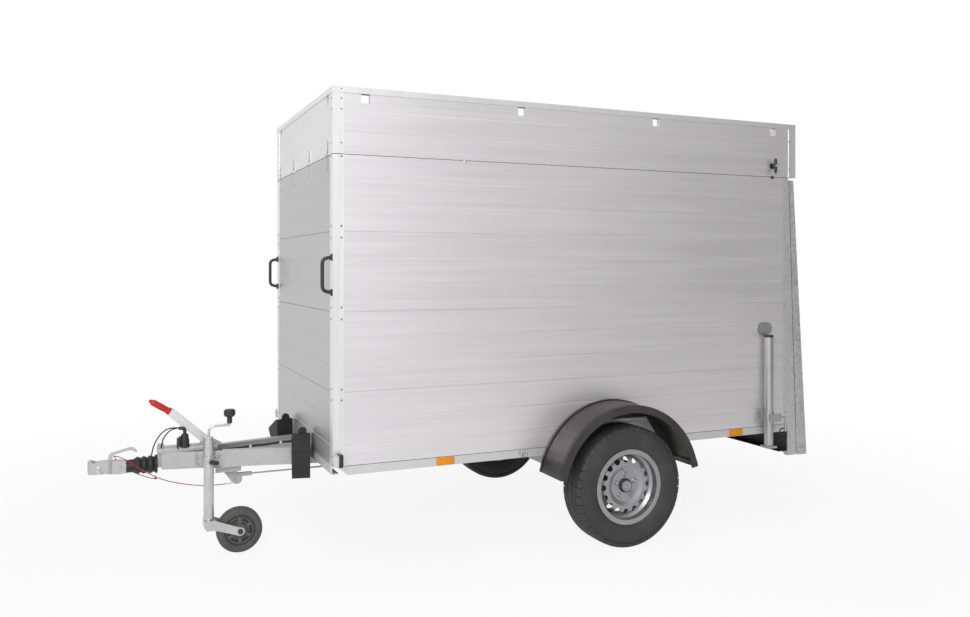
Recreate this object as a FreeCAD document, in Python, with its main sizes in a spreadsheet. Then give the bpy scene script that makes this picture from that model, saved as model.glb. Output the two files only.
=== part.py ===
import FreeCAD, Part
import math
import os
import re

import Sketcher
from FreeCAD import Placement, Rotation, Vector

# A single-axle, braked box trailer with high board walls, an upper frame that tilts up
# about the front wall, a loading ramp, a jack wheel and two rear prop stands.
# Frame: +X points forward to the coupling, +Y to the trailer's left, +Z up.
# The origin is on the ground, below the middle of the overall length and width.
# All sizes are in millimetres.

doc = FreeCAD.newDocument("UtilityTrailer")
sheet = doc.addObject("Spreadsheet::Sheet", "dims")
aliases = []

OVERALL = {
    "nose_reach": 993,
    "box_length": 2565,
    "tail_deep": 169,
    "box_width": 1310,
    "board_wall": 25,
    "rave_low": 452,
    "rave_tall": 40,
    "split_height": 1876,
    "split_gap": 3,
    "frame_tall": 300,
    "rim_tall": 27,
    "rim_proud": 4,
    "top_board_tall": 342,
    "board_tall": 357,
    "groove_wide": 5,
    "groove_deep": 3,
    "seat_gap": 0.3,
    "overrun_cut": 5,
    "sheet_wall": 3,
}
FLOOR_AND_POSTS = {
    "floor_thick": 15,
    "rave_wide": 32,
    "rave_wall": 4,
    "corner_cut_long": 65,
    "corner_cut_tall": 53,
    "member_wide": 50,
    "member_tall": 45,
    "cover_leg": 48,
    "cover_wall": 2.5,
    "post_wide": 30,
    "post_top_deep": 36,
    "post_drop": 137,
    "post_step": 30,
    "hole_side": 41,
    "hole_first": 148,
    "hole_pitch": 780,
    "front_hole_inset": 85,
}
RAMP = {
    "ramp_gap": 5,
    "ramp_short": 12.5,
    "ramp_foot_drop": 3,
    "rail_top_deep": 30,
    "rail_foot_deep": 72,
    "rail_wide": 28,
    "rail_chamfer": 14,
    "lug_thick": 13,
    "lug_radius": 14,
    "pivot_rise": 25,
    "pivot_back": 36,
    "pivot_radius": 6,
    "pin_gap": 0.4,
    "deck_rise": 26,
    "deck_thick": 20,
    "rung_tall": 40,
    "rung_deep": 8,
    "rung_count": 5,
}
DRAWBAR = {
    "beam_tall": 80,
    "beam_flange": 34,
    "beam_wall": 4,
    "beam_front": 673,
    "beam_half": 30,
    "beam_slope": 0.227,
    "beam_back": 1330,
    "flange_front": 400,
    "housing_front": 690,
    "housing_back": 420,
    "housing_half": 23,
    "housing_tall": 70,
    "cover_top_half": 45,
    "cover_top_tall": 20,
    "cover_top_bevel": 6,
    "cheek_front": 674,
    "cheek_back": 523,
    "cheek_low": 418,
    "cheek_tall": 69,
    "stop_long": 30,
    "stop_tall": 18,
    "yoke_back": 390,
    "yoke_front": 500,
    "yoke_rise": 33,
    "gusset_front": 430,
    "gusset_back": 310,
    "gusset_half": 60,
    "gusset_tall": 34,
}
COUPLING = {
    "pull_drop": 56,
    "bellows_front": 828,
    "bellows_radius": 43,
    "bellows_bore": 20,
    "ball_radius": 25.3,
    "ball_ahead": 946,
    "cup_radius": 34,
    "cup_tall": 20,
    "neck_tall": 56,
    "neck_half": 23,
    "pull_handle_back": 780,
    "pull_handle_front": 905,
    "pull_handle_tall": 54,
    "pull_handle_wide": 22,
}
HANDBRAKE = {
    "lever_ahead": 470,
    "lever_rise": 41,
    "lever_long": 219,
    "lever_half": 19.5,
    "lever_wide": 30,
    "lever_wall": 2.5,
    "lever_angle": 42.1,
    "lever_pin_radius": 6,
    "grip_long": 100,
    "grip_radius": 15,
    "button_long": 11,
    "button_radius": 8,
    "grip_angle": 32.5,
    "link_thick": 8,
    "link_ahead": 380,
    "link_drop": 24,
    "link_long": 110,
    "link_radius": 27,
    "link_angle": 46,
    "clevis_back": 250,
    "clevis_front": 320,
    "clevis_tall": 16,
    "brake_rod_radius": 4,
    "equaliser_half": 70,
}
PLUG = {
    "plug_ahead": 568,
    "plug_side": 26,
    "plug_radius": 21,
    "plug_tall": 62,
    "plug_neck_radius": 8,
    "plug_neck_tall": 28,
    "plug_seat_tall": 8,
    "lead_radius": 3,
    "cable_radius": 2,
}
RUNNING_GEAR = {
    "wheel_back": 1430,
    "tyre_radius": 297,
    "tyre_half": 82.5,
    "tyre_stand": 21,
    "bead_radius": 166,
    "bead_half": 62,
    "flange_radius": 184,
    "rim_wall": 5,
    "disc_out": 38,
    "vent_count": 16,
    "vent_radius": 14.5,
    "vent_circle": 128,
    "hub_radius": 33,
    "bolt_circle": 56,
    "bolt_radius": 11,
    "drum_radius": 116,
    "drum_thick": 72,
    "hub_reach": 22,
    "axle_inset": 63,
    "stub_radius": 20,
    "axle_side": 60,
    "axle_lead": 165,
    "axle_height": 345,
    "arm_wide": 70,
    "arm_thick": 28,
}
MUDGUARDS = {
    "guard_radius": 397,
    "guard_wall": 4,
    "guard_lip": 34,
    "guard_bead": 6,
    "guard_stand": 7,
    "guard_wide": 210,
    "guard_lift": 304,
    "guard_back": 1414.5,
    "guard_foot_long": 26,
    "guard_first_angle": 10.5,
    "guard_last_angle": 170,
}
JACK_WHEEL = {
    "jack_ahead": 466,
    "jack_stand": 28,
    "jack_radius": 24,
    "jack_foot": 172,
    "jack_rise": 60,
    "jack_clamp_tall": 49,
    "jack_clamp_wall": 6,
    "jack_wheel_radius": 107.5,
    "jack_wheel_half": 32,
    "jack_trail": 141,
    "fork_plate": 6,
    "fork_gap": 6,
    "fork_tall": 46,
    "fork_first_angle": 285,
    "fork_last_angle": 105,
    "fork_round": 20,
    "jack_axle_radius": 8,
    "crank_radius": 6,
    "crank_rise": 64,
    "crank_tip": 8,
    "crank_throw": 96,
    "knob_radius": 27,
    "knob_tall": 66,
    "jack_lever_long": 46,
    "jack_lever_tall": 19,
    "jack_lever_thick": 12,
}
PROP_STANDS = {
    "prop_ahead": 138,
    "prop_stand": 35,
    "prop_radius": 24,
    "prop_wall": 3,
    "prop_foot": 380,
    "prop_head": 998,
    "prop_pad": 62,
    "prop_pad_thick": 6,
    "prop_pad_lip": 12,
    "clamp_rise": 28,
    "clamp_tall": 56,
    "clamp_wall": 5,
    "clamp_foot_long": 76,
    "clamp_foot_tall": 75,
    "clamp_lever_long": 80,
    "clamp_lever_tall": 40,
    "clamp_lever_thick": 10,
    "clamp_rod_radius": 4,
    "clamp_grip_radius": 7,
    "clamp_grip_long": 44,
    "back_plate_long": 106,
    "back_plate_tall": 68,
    "back_plate_rise": 36,
}
FITTINGS = {
    "upper_post_deep": 48,
    "lock_ahead": 84,
    "lock_rise": 60,
    "lock_radius": 16,
    "lock_plate_thick": 3,
    "lock_reach": 38,
    "lock_bar_radius": 9,
    "lock_bar_long": 81,
    "catch_radius": 8,
    "catch_thick": 8,
    "catch_drop": 3,
    "hinge_count": 4,
    "hinge_spread": 1132,
    "hinge_wide": 26,
    "hinge_leaf": 3,
    "hinge_long": 62,
    "knuckle_radius": 6,
    "knuckle_bore": 2.6,
    "handle_rise": 849,
    "handle_span": 196,
    "handle_reach": 68,
    "handle_thick": 18,
    "handle_wide": 22,
    "eye_back": 931,
    "eye_wide": 28,
    "eye_tall": 32,
    "eye_radius": 4,
    "eye_reach": 16,
}
CHOCKS = {
    "chock_start": -3,
    "chock_wide": 87,
    "chock_stand": 30,
    "chock_deep": 113,
    "chock_low": 347,
    "chock_tall": 222,
    "chock_tab_start": 14,
    "chock_tab_wide": 42,
    "chock_tab_tall": 31,
    "chock_tab_thick": 10,
    "holder_wide": 66,
    "holder_plate": 5,
    "holder_low": 372,
    "holder_tall": 108,
}
LAMPS = {
    "lamp_board_tall": 112,
    "lamp_board_deep": 60,
    "lamp_board_wall": 3,
    "lamp_wide": 200,
    "lamp_tall": 92,
    "lamp_deep": 32,
    "lamp_round": 12,
    "plate_wide": 520,
    "plate_tall": 100,
    "plate_thick": 2,
    "marker_first": 530,
    "marker_long": 88,
    "marker_tall": 34,
    "marker_thick": 6,
    "front_lamp_long": 48,
    "front_lamp_wide": 40,
    "front_lamp_tall": 56,
    "front_lamp_rise": 3,
}
DERIVED = {
    "tail_reach": "=box_length + tail_deep",
    "front_x": "=(tail_reach - nose_reach) / 2",
    "rear_x": "=front_x - box_length",
    "half_width": "=box_width / 2",
    "rave_high": "=rave_low + rave_tall",
    "frame_top": "=split_height + frame_tall",
    "box_top": "=split_height - split_gap / 2",
    "upper_low": "=split_height + split_gap / 2",
    "floor_low": "=rave_high + seat_gap",
    "post_foot": "=rave_low - post_drop",
    "post_foot_deep": "=tail_deep - rail_foot_deep - ramp_gap",
    "lean": "=(post_foot_deep - post_top_deep) / (box_top - post_foot)",
    "ramp_top": "=box_top - ramp_short",
    "ramp_foot": "=post_foot - ramp_foot_drop",
    "pivot_height": "=post_foot + pivot_rise",
    "pivot_x": "=rear_x - tail_deep + pivot_back",
    "deck_low": "=rave_low + deck_rise",
    "beam_top": "=rave_high",
    "beam_low": "=beam_top - beam_tall",
    "cover_top": "=beam_top + seat_gap + cover_top_tall",
    "pull_height": "=beam_top - pull_drop",
    "ball_x": "=front_x + ball_ahead",
    "ball_height": "=pull_height",
    "lever_x": "=front_x + lever_ahead",
    "lever_height": "=beam_top + lever_rise",
    "link_x": "=front_x + link_ahead",
    "link_height": "=beam_low - link_drop",
    "plug_x": "=front_x + plug_ahead",
    "wheel_x": "=front_x - wheel_back",
    "wheel_y": "=half_width + tyre_stand + tyre_half",
    "axle_half": "=half_width - axle_inset",
    "axle_x": "=wheel_x + axle_lead",
    "guard_x": "=front_x - guard_back",
    "guard_inner": "=half_width + guard_stand",
    "jack_x": "=front_x + jack_ahead",
    "jack_side": "=beam_half + beam_slope * (beam_front - jack_ahead) + jack_stand",
    "jack_head": "=beam_top + jack_rise",
    "prop_x": "=rear_x + prop_ahead",
    "prop_side": "=half_width + prop_stand",
    "beam_root": "=beam_half + beam_slope * beam_front",
}


def write_cells(table):
    """Adds one sheet row for each alias and its value or formula."""
    for alias, value in table.items():
        row = len(aliases) + 1
        sheet.set("A%d" % row, alias)
        sheet.set("B%d" % row, str(value))
        sheet.setAlias("B%d" % row, alias)
        aliases.append(alias)


for table in (OVERALL, FLOOR_AND_POSTS, RAMP, DRAWBAR, COUPLING, HANDBRAKE, PLUG, RUNNING_GEAR,
              MUDGUARDS, JACK_WHEEL, PROP_STANDS, FITTINGS, CHOCKS, LAMPS, DERIVED):
    write_cells(table)
doc.recompute()


class Sizes:
    """The sheet's values under their aliases."""


size = Sizes()
for alias in aliases:
    setattr(size, alias, float(sheet.get(alias)))


def in_sheet(formula):
    """Points each alias in a formula to its sheet cell."""

    def cell(match):
        word = match.group()
        return "dims." + word if word in aliases else word

    return re.sub(r"[A-Za-z_]\w*", cell, formula)


def bind(item, prop, formula):
    item.setExpression(prop, in_sheet(formula))


def place(item, corner):
    for axis, formula in zip("xyz", corner):
        bind(item, "Placement.Base." + axis, formula)


def block(name, spans, corner):
    """A box with its lowest corner at a place, both given as formulas."""
    item = doc.addObject("Part::Box", name)
    for prop, formula in zip(("Length", "Width", "Height"), spans):
        bind(item, prop, formula)
    place(item, corner)
    return item


TURNS = {
    "+z": Rotation(),
    "-z": Rotation(Vector(1, 0, 0), 180),
    "+x": Rotation(Vector(0, 1, 0), 90),
    "-x": Rotation(Vector(0, 1, 0), -90),
    "+y": Rotation(Vector(1, 0, 0), -90),
    "-y": Rotation(Vector(1, 0, 0), 90),
}


def rod(name, radius, length, start, way="+z"):
    """A round bar that starts at a place and points one way."""
    item = doc.addObject("Part::Cylinder", name)
    item.Placement = Placement(Vector(), TURNS[way])
    bind(item, "Radius", radius)
    bind(item, "Height", length)
    place(item, start)
    return item


def fuse(name, parts):
    item = doc.addObject("Part::MultiFuse", name)
    item.Shapes = parts
    item.Refine = True
    return item


def cut(name, base, tools):
    """Cuts one tool, or several joined, from a base."""
    tool = tools[0] if len(tools) == 1 else group(name + "_tools", tools)
    item = doc.addObject("Part::Cut", name)
    item.Base = base
    item.Tool = tool
    return item


def group(name, parts):
    """Several solids that don't touch, kept as one item."""
    item = doc.addObject("Part::Compound", name)
    item.Links = parts
    return item


def mirrored(name, source):
    """The same piece on the trailer's other side."""
    item = doc.addObject("Part::Mirroring", name)
    item.Source = source
    item.Normal = Vector(0, 1, 0)
    item.Base = Vector(0, 0, 0)
    return item


def pair(name, source):
    """A left piece and its mirror image as one item."""
    return group(name, [source, mirrored(name + "_right", source)])


PLANES = {"plan": "XY_Plane", "side": "XZ_Plane", "end": "YZ_Plane"}


def new_body(name):
    return doc.addObject("PartDesign::Body", name)


def sketch_on(body, plane, name, level="0"):
    """A sketch on one of the body's own planes, moved to a level along the row axis."""
    sketch = body.newObject("Sketcher::SketchObject", name)
    for datum in body.Origin.OriginFeatures:
        if datum.Role == PLANES[plane]:
            sketch.AttachmentSupport = [(datum, "")]
    sketch.MapMode = "FlatFace"
    sign = "-" if plane == "side" else ""
    bind(sketch, "AttachmentOffset.Base.z", "%s(%s)" % (sign, level))
    return sketch


def value_of(formula):
    """The number that a formula over the sheet's names gives."""
    return float(sheet.evalExpression(formula))


def draw_outline(sketch, points):
    """A closed outline of straight lines through points given as formula pairs."""
    start = [Vector(value_of(a), value_of(b), 0) for a, b in points]
    lines = []
    for here, there in zip(start, start[1:] + start[:1]):
        lines.append(sketch.addGeometry(Part.LineSegment(here, there)))
    for line, after in zip(lines, lines[1:] + lines[:1]):
        sketch.addConstraint(Sketcher.Constraint("Coincident", line, 2, after, 1))
    for line, point, spot in zip(lines, points, start):
        for kind, formula, value in zip(("DistanceX", "DistanceY"), point, (spot.x, spot.y)):
            rule = Sketcher.Constraint(kind, -1, 1, line, 1, value)
            number = sketch.addConstraint(rule)
            bind(sketch, "Constraints[%d]" % number, formula)


def draw_circle(sketch, centre, radius):
    spot = Vector(value_of(centre[0]), value_of(centre[1]), 0)
    ring = Part.Circle(spot, Vector(0, 0, 1), value_of(radius))
    shape = sketch.addGeometry(ring)
    for kind, formula, value in zip(("DistanceX", "DistanceY"), centre, (spot.x, spot.y)):
        number = sketch.addConstraint(Sketcher.Constraint(kind, -1, 1, shape, 3, value))
        bind(sketch, "Constraints[%d]" % number, formula)
    number = sketch.addConstraint(Sketcher.Constraint("Radius", shape, value_of(radius)))
    bind(sketch, "Constraints[%d]" % number, radius)


def pad(body, sketch, plane, length):
    """Raises a sketch towards the row axis's positive end."""
    item = body.newObject("PartDesign::Pad", sketch.Name + "_pad")
    item.Profile = sketch
    bind(item, "Length", length)
    item.Reversed = plane == "side"
    body.Tip = item
    return item


def slab(name, plane, level, length, points, circles=()):
    """A body that is one outline, with round holes, raised from a level."""
    body = new_body(name)
    sketch = sketch_on(body, plane, name + "_outline", level)
    draw_outline(sketch, points)
    for centre, radius in circles:
        draw_circle(sketch, centre, radius)
    pad(body, sketch, plane, length)
    return body


def turned(name, along, centre, points):
    """A body turned about an axis along "x", "y" or "z". The centre is where that axis
    stands: (y, z), (x, z) or (x, y) formulas. The points are (place, radius) pairs."""
    plane = {"x": "side", "y": "end", "z": "side"}[along]
    level = {"x": centre[0], "y": centre[0], "z": centre[1]}[along]
    body = new_body(name)
    sketch = sketch_on(body, plane, name + "_section", level)
    if along == "z":
        bind(sketch, "AttachmentOffset.Base.x", centre[0])
        points = [(radius, height) for height, radius in points]
    else:
        bind(sketch, "AttachmentOffset.Base.y", centre[1])
    draw_outline(sketch, points)
    item = body.newObject("PartDesign::Revolution", name + "_turn")
    item.Profile = sketch
    item.ReferenceAxis = (sketch, ["V_Axis" if along == "z" else "H_Axis"])
    item.Angle = 360
    body.Tip = item
    return body


def plain(name, shape, at=None):
    """A piece whose shape is worked out in this file from the sheet's sizes."""
    item = doc.addObject("Part::Feature", name)
    item.Shape = shape
    item.Placement = Placement(at if at else Vector(), Rotation())
    return item


def rounded_route(points, share):
    """A wire of straight runs joined by tangent arcs. The share of the shorter run
    that an arc takes up sets its radius. Returns the wire and the arcs' radii."""
    edges = []
    radii = []
    here = points[0]
    for before, corner, after in zip(points, points[1:], points[2:]):
        back = (before - corner).normalize()
        ahead = (after - corner).normalize()
        reach = share * min((before - corner).Length, (after - corner).Length)
        turn = math.pi - back.getAngle(ahead)
        radii.append(reach / math.tan(turn / 2))
        enter = corner + back * reach
        leave = corner + ahead * reach
        middle = (back + ahead).normalize()
        radius = radii[-1]
        centre = corner + middle * (radius / math.cos(turn / 2))
        edges.append(Part.LineSegment(here, enter).toShape())
        crest = centre - middle * radius
        edges.append(Part.Arc(enter, crest, leave).toShape())
        here = leave
    edges.append(Part.LineSegment(here, points[-1]).toShape())
    return Part.Wire(edges), radii


def tube_along(points, radius, share=0.45):
    """A solid round tube along a rounded route."""
    route, radii = rounded_route(points, share)
    ring = Part.Circle(points[0], points[1] - points[0], radius).toShape()
    tube = route.makePipeShell([Part.Wire(ring)], True, True)
    return tube, route.Length, radii


nodes = []


def node(item):
    """Keeps an item as a sub-part, under its own label."""
    item.Label = item.Name
    nodes.append(item)
    return item


def common(name, base, tool):
    """What two solids share."""
    item = doc.addObject("Part::Common", name)
    item.Base = base
    item.Tool = tool
    return item


def along_arc(centre, radius, first, last, spans):
    """Formula pairs along an arc about a centre, between two angles in degrees."""
    pairs = []
    for step in range(spans + 1):
        angle = first + (last - first) * step / spans
        pairs.append(("%s + (%s) * cos(%g)" % (centre[0], radius, angle),
                      "%s + (%s) * sin(%g)" % (centre[1], radius, angle)))
    return pairs


def shaped(corner, spans, shares):
    """Formula pairs for points given as shares of two sizes, measured from a corner."""
    return [("%s + (%s) * %g" % (corner[0], spans[0], across),
             "%s + (%s) * %g" % (corner[1], spans[1], up)) for across, up in shares]


def tilted(item, corner, angle):
    """Sets an item that was made along X at a place, its far end raised by an angle."""
    item.Placement = Placement(Vector(), Rotation(Vector(0, 1, 0), -value_of(angle)))
    place(item, corner)
    return item


def beside_beam(item):
    """Turns an item made with X along the left beam and Y out of its face into place."""
    turn = -math.degrees(math.atan(size.beam_slope))
    item.Placement = Placement(Vector(), Rotation(Vector(0, 0, 1), turn))
    place(item, ("front_x", "beam_root", "0"))
    return item


# Board walls and corner covers
BOARD_COUNT = 4
SHALLOW_SEAM_COUNT = 2


def seam_levels():
    """Heights of the seams in the lower walls, each with whether it is a joint."""
    levels = []
    for board in range(BOARD_COUNT):
        joint = "(split_height - top_board_tall - board_tall * %d)" % board
        if board:
            levels.append((joint, True))
        for seam in range(1, SHALLOW_SEAM_COUNT + 1):
            share = seam / (SHALLOW_SEAM_COUNT + 1)
            levels.append(("(%s - board_tall * %g)" % (joint, 1 - share), False))
    first = "(split_height - top_board_tall)"
    levels.append((first, True))
    for seam in range(1, SHALLOW_SEAM_COUNT + 1):
        levels.append(("(%s + top_board_tall * %g)" % (first, seam / (SHALLOW_SEAM_COUNT + 1)), False))
    levels = [row for row in levels if value_of(row[0]) > size.rave_high + size.groove_wide]
    return sorted(levels, key=lambda row: value_of(row[0]))


def grooved_wall(name, along, span, faces, heights, seams):
    """A wall of stacked boards. It runs along X or Y between the two places of span,
    faces are its back and its grooved face, and seams lists its grooves."""
    across = {"x": "end", "y": "side"}[along]
    body = new_body(name)
    sketch = sketch_on(body, across, name + "_section", span[0])
    back, face = faces
    low, high = heights
    points = [(back, low), (face, low)]
    for level, joint in seams:
        deep = "groove_deep" if joint else "groove_deep / 2"
        points.append((face, "%s - groove_wide / 2" % level))
        points.append(("%s - %s" % (face, deep), level))
        points.append((face, "%s + groove_wide / 2" % level))
    points.append((face, high))
    points.append((back, high))
    draw_outline(sketch, points)
    pad(body, sketch, across, "(%s) - (%s)" % (span[1], span[0]))
    return body


def corner_wedge(name):
    """The corner below the front, cut away on a slant, on the left side."""
    return slab(name, "side", "half_width - rave_wide", "rave_wide + cover_wall + overrun_cut", [
        ("front_x + overrun_cut", "rave_low + corner_cut_tall * (1 + overrun_cut / corner_cut_long)"),
        ("front_x + overrun_cut", "rave_low - overrun_cut"),
        ("front_x - corner_cut_long * (1 + overrun_cut / corner_cut_tall)", "rave_low - overrun_cut"),
    ])


def without_corners(name, item):
    """An item with its two lower front corners cut on the slant."""
    wedge = corner_wedge(name + "_wedge")
    return cut(name, item, [wedge, mirrored(name + "_wedge_right", wedge)])


lower_seams = seam_levels()
upper_seam_shares = (1 / 3, 2 / 3)
upper_seams = [("(split_height + frame_tall * %g)" % share, False) for share in upper_seam_shares]
wall_heights = ("rave_high + seat_gap", "box_top")
left_boards = node(grooved_wall(
    "side_boards_left", "x", ("rear_x + seat_gap", "front_x - board_wall - seat_gap"),
    ("half_width - board_wall", "half_width"), wall_heights, lower_seams))
node(mirrored("side_boards_right", left_boards))
node(without_corners("front_boards", grooved_wall(
    "front_wall", "y", ("-half_width", "half_width"),
    ("front_x - board_wall", "front_x"), wall_heights, lower_seams)))


def corner_cover(name, low, high):
    """A thin angle that caps a front corner, outside both walls."""
    points = [
        ("front_x - cover_leg", "half_width + seat_gap"),
        ("front_x + seat_gap", "half_width + seat_gap"),
        ("front_x + seat_gap", "half_width - cover_leg"),
        ("front_x + cover_wall", "half_width - cover_leg"),
        ("front_x + cover_wall", "half_width + cover_wall"),
        ("front_x - cover_leg", "half_width + cover_wall"),
    ]
    return slab(name, "plan", low, "(%s) - (%s)" % (high, low), points)


node(without_corners("front_covers", pair("covers", corner_cover("cover_left", "rave_low", "box_top"))))


# Raves, drawbar beams, floor and cross members
def rave_section(outer, inner):
    """A channel section that opens inwards, from its outer face to its lips."""
    side = "-" if outer[0] != "-" else "+"
    web = "%s %s rave_wall" % (outer, side)
    return [
        (outer, "rave_low"), (outer, "rave_high"), (inner, "rave_high"),
        (inner, "rave_high - rave_wall"), (web, "rave_high - rave_wall"),
        (web, "rave_low + rave_wall"), (inner, "rave_low + rave_wall"), (inner, "rave_low"),
    ]


def beam_outer(spot):
    """Half the drawbar's width over its beams, at a place along X."""
    return "(beam_half + beam_slope * (front_x + beam_front - (%s)))" % spot


def beam_strip(name, front, back, inner, outer, low, tall):
    """A strip along the left beam between two offsets inside its outer face."""
    points = [
        (front, "%s - (%s)" % (beam_outer(front), outer)),
        (back, "%s - (%s)" % (beam_outer(back), outer)),
        (back, "%s - (%s)" % (beam_outer(back), inner)),
        (front, "%s - (%s)" % (beam_outer(front), inner)),
    ]
    return slab(name, "plan", low, tall, points)


front_end = "front_x + beam_front"
back_end = "front_x - beam_back"
flange_end = "front_x + flange_front"


def beam_envelope(name, clearance):
    """The whole room of the left beam, with a clearance round it, to cut others by."""
    return beam_strip(name, front_end, back_end, "beam_flange + " + clearance, "-" + clearance,
                      "beam_low - " + clearance, "beam_tall + 2 * " + clearance)


def drawbar_beam():
    """A folded channel whose flanges start where the housing ends."""
    web = beam_strip("beam_web", front_end, back_end, "beam_wall", "0", "beam_low", "beam_tall")
    upper = beam_strip("beam_upper_flange", flange_end, back_end, "beam_flange", "beam_wall / 2",
                       "beam_top - beam_wall", "beam_wall")
    lower = beam_strip("beam_lower_flange", flange_end, back_end, "beam_flange", "beam_wall / 2",
                       "beam_low", "beam_wall")
    return fuse("drawbar_left", [web, upper, lower])


def side_rave():
    """The channel below the left wall."""
    return slab("rave_left", "end", "rear_x + seat_gap", "box_length - seat_gap",
                rave_section("half_width", "half_width - rave_wide"))


def front_rave():
    """The channel across the front, notched where the beams pass."""
    base = slab("rave_front_bar", "side", "-half_width + rave_wide + seat_gap",
                "box_width - 2 * (rave_wide + seat_gap)",
                rave_section("front_x", "front_x - rave_wide"))
    notch = beam_envelope("rave_notch", "sheet_wall")
    return cut("front_rave", base, [notch, mirrored("rave_notch_right", notch)])


member_shares = (0.2, 0.42, 0.72, 0.9)


def cross_members():
    """Channels below the floor from rave to rave, parted where the beams pass."""
    bars = []
    for number, share in enumerate(member_shares):
        spot = "front_x - box_length * %g" % share
        top = "floor_low - seat_gap"
        low = "floor_low - member_tall"
        back = spot + " - member_wide"
        points = [
            (spot, top), (back, top), (back, low), (back + " + sheet_wall", low),
            (back + " + sheet_wall", top + " - sheet_wall"),
            (spot + " - sheet_wall", top + " - sheet_wall"), (spot + " - sheet_wall", low), (spot, low),
        ]
        bars.append(slab("member_%d" % number, "side", "-half_width + rave_wide + seat_gap",
                         "box_width - 2 * (rave_wide + seat_gap)", points))
    room = beam_envelope("member_notch", "seat_gap")
    return cut("cross_members", group("member_bars", bars), [room, mirrored("member_notch_right", room)])


left_beam = node(drawbar_beam())
node(mirrored("drawbar_right", left_beam))
node(without_corners("side_raves", pair("rave_pair", side_rave())))
node(front_rave())
node(block("floor_panel",
           ("box_length - board_wall - 2 * seat_gap", "box_width - 2 * (board_wall + seat_gap)",
            "floor_thick"),
           ("rear_x + seat_gap", "-half_width + board_wall + seat_gap", "floor_low")))
node(cross_members())


# Rear posts
def post_face(height):
    """Where the rear posts' slanted back face stands at a height."""
    return "(rear_x - post_foot_deep + ((%s) - post_foot) * lean)" % height


def rear_post():
    """A closed tapered post, hollow inside its walls."""
    outline = [
        ("rear_x - post_step", "post_foot"), ("rear_x - post_step", "rave_low - seat_gap"),
        ("rear_x", "rave_low - seat_gap"), ("rear_x", "box_top"),
        (post_face("box_top"), "box_top"), (post_face("post_foot"), "post_foot"),
    ]
    whole = slab("post_whole", "side", "half_width - post_wide", "post_wide", outline)
    inner = [
        ("rear_x - post_step - overrun_cut", "post_foot + sheet_wall"),
        ("rear_x - post_step - overrun_cut", "rave_low"),
        ("rear_x - sheet_wall", "rave_low"), ("rear_x - sheet_wall", "box_top - sheet_wall"),
        (post_face("box_top") + " + sheet_wall", "box_top - sheet_wall"),
        (post_face("post_foot") + " + sheet_wall", "post_foot + sheet_wall"),
    ]
    hollow = slab("post_hollow", "side", "half_width - post_wide + sheet_wall",
                  "post_wide - 2 * sheet_wall", inner)
    return cut("rear_post_left", whole, [hollow])


node(pair("rear_posts", rear_post()))

# Rear lighting board, lamps and plate
board_back = "(rear_x - post_step)"
board_low = "(rave_low - seat_gap - lamp_board_tall)"


def lighting_board():
    """A channel below the floor's rear edge, open to the front."""
    wall = "lamp_board_wall"
    high = board_low + " + lamp_board_tall"
    front = board_back + " + lamp_board_deep"
    points = [
        (board_back, board_low), (board_back, high), (front, high), (front, "%s - %s" % (high, wall)),
        ("%s + %s" % (board_back, wall), "%s - %s" % (high, wall)),
        ("%s + %s" % (board_back, wall), "%s + %s" % (board_low, wall)),
        (front, "%s + %s" % (board_low, wall)), (front, board_low),
    ]
    return slab("rear_light_board", "side", "-half_width + 2 * sheet_wall", "box_width - 4 * sheet_wall",
                points)


def tail_lamp():
    """A lamp with its outer corners bevelled towards the rear."""
    base = board_back + " - seat_gap"
    start = "plate_wide / 2 + lamp_round"
    low = board_low + " + (lamp_board_tall - lamp_tall) / 2"
    lens = slab("lamp_lens", "plan", low, "lamp_tall", [
        (base, start), (base, start + " + lamp_wide"),
        (base + " - lamp_deep + lamp_round", start + " + lamp_wide"),
        (base + " - lamp_deep", start + " + lamp_wide - lamp_round"),
        (base + " - lamp_deep", start + " + lamp_round"), (base + " - lamp_deep + lamp_round", start),
    ])
    return lens


node(lighting_board())
node(pair("tail_lamps", tail_lamp()))
node(block("number_plate", ("plate_thick", "plate_wide", "plate_tall"),
           (board_back + " - seat_gap - plate_thick", "-plate_wide / 2",
            board_low + " + (lamp_board_tall - plate_tall) / 2")))


# Loading ramp
def rail_face(height):
    """Where the ramp's slanted front face stands at a height."""
    return "(%s - ramp_gap)" % post_face(height)


def ramp_rail():
    """A tapered channel rail that opens inwards, with the pivot hole at its foot."""
    foot_back = "front_x - tail_reach"
    outline = [
        (rail_face("pivot_height"), "pivot_height"), (rail_face("ramp_top"), "ramp_top"),
        (rail_face("ramp_top") + " - rail_top_deep", "ramp_top"), (foot_back, "ramp_foot"),
        (rail_face("ramp_foot") + " - rail_chamfer", "ramp_foot"),
    ]
    whole = slab("rail_whole", "side", "half_width - rail_wide", "rail_wide", outline,
                 [(("pivot_x", "pivot_height"), "pivot_radius + pin_gap")])
    inner = [
        (rail_face("pivot_height") + " - sheet_wall", "pivot_height"),
        (rail_face("ramp_top") + " - sheet_wall", "ramp_top - sheet_wall"),
        (rail_face("ramp_top") + " - rail_top_deep + sheet_wall", "ramp_top - sheet_wall"),
        (foot_back + " + 1.5 * sheet_wall", "ramp_foot + sheet_wall"),
        (rail_face("ramp_foot") + " - rail_chamfer - sheet_wall", "ramp_foot + sheet_wall"),
    ]
    hollow = slab("rail_hollow", "side", "half_width - rail_wide - overrun_cut",
                  "rail_wide + overrun_cut - sheet_wall", inner)
    return cut("ramp_rail_left", whole, [hollow])


deck_start = "-half_width + rail_wide + seat_gap"
deck_span = "box_width - 2 * (rail_wide + seat_gap)"


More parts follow.
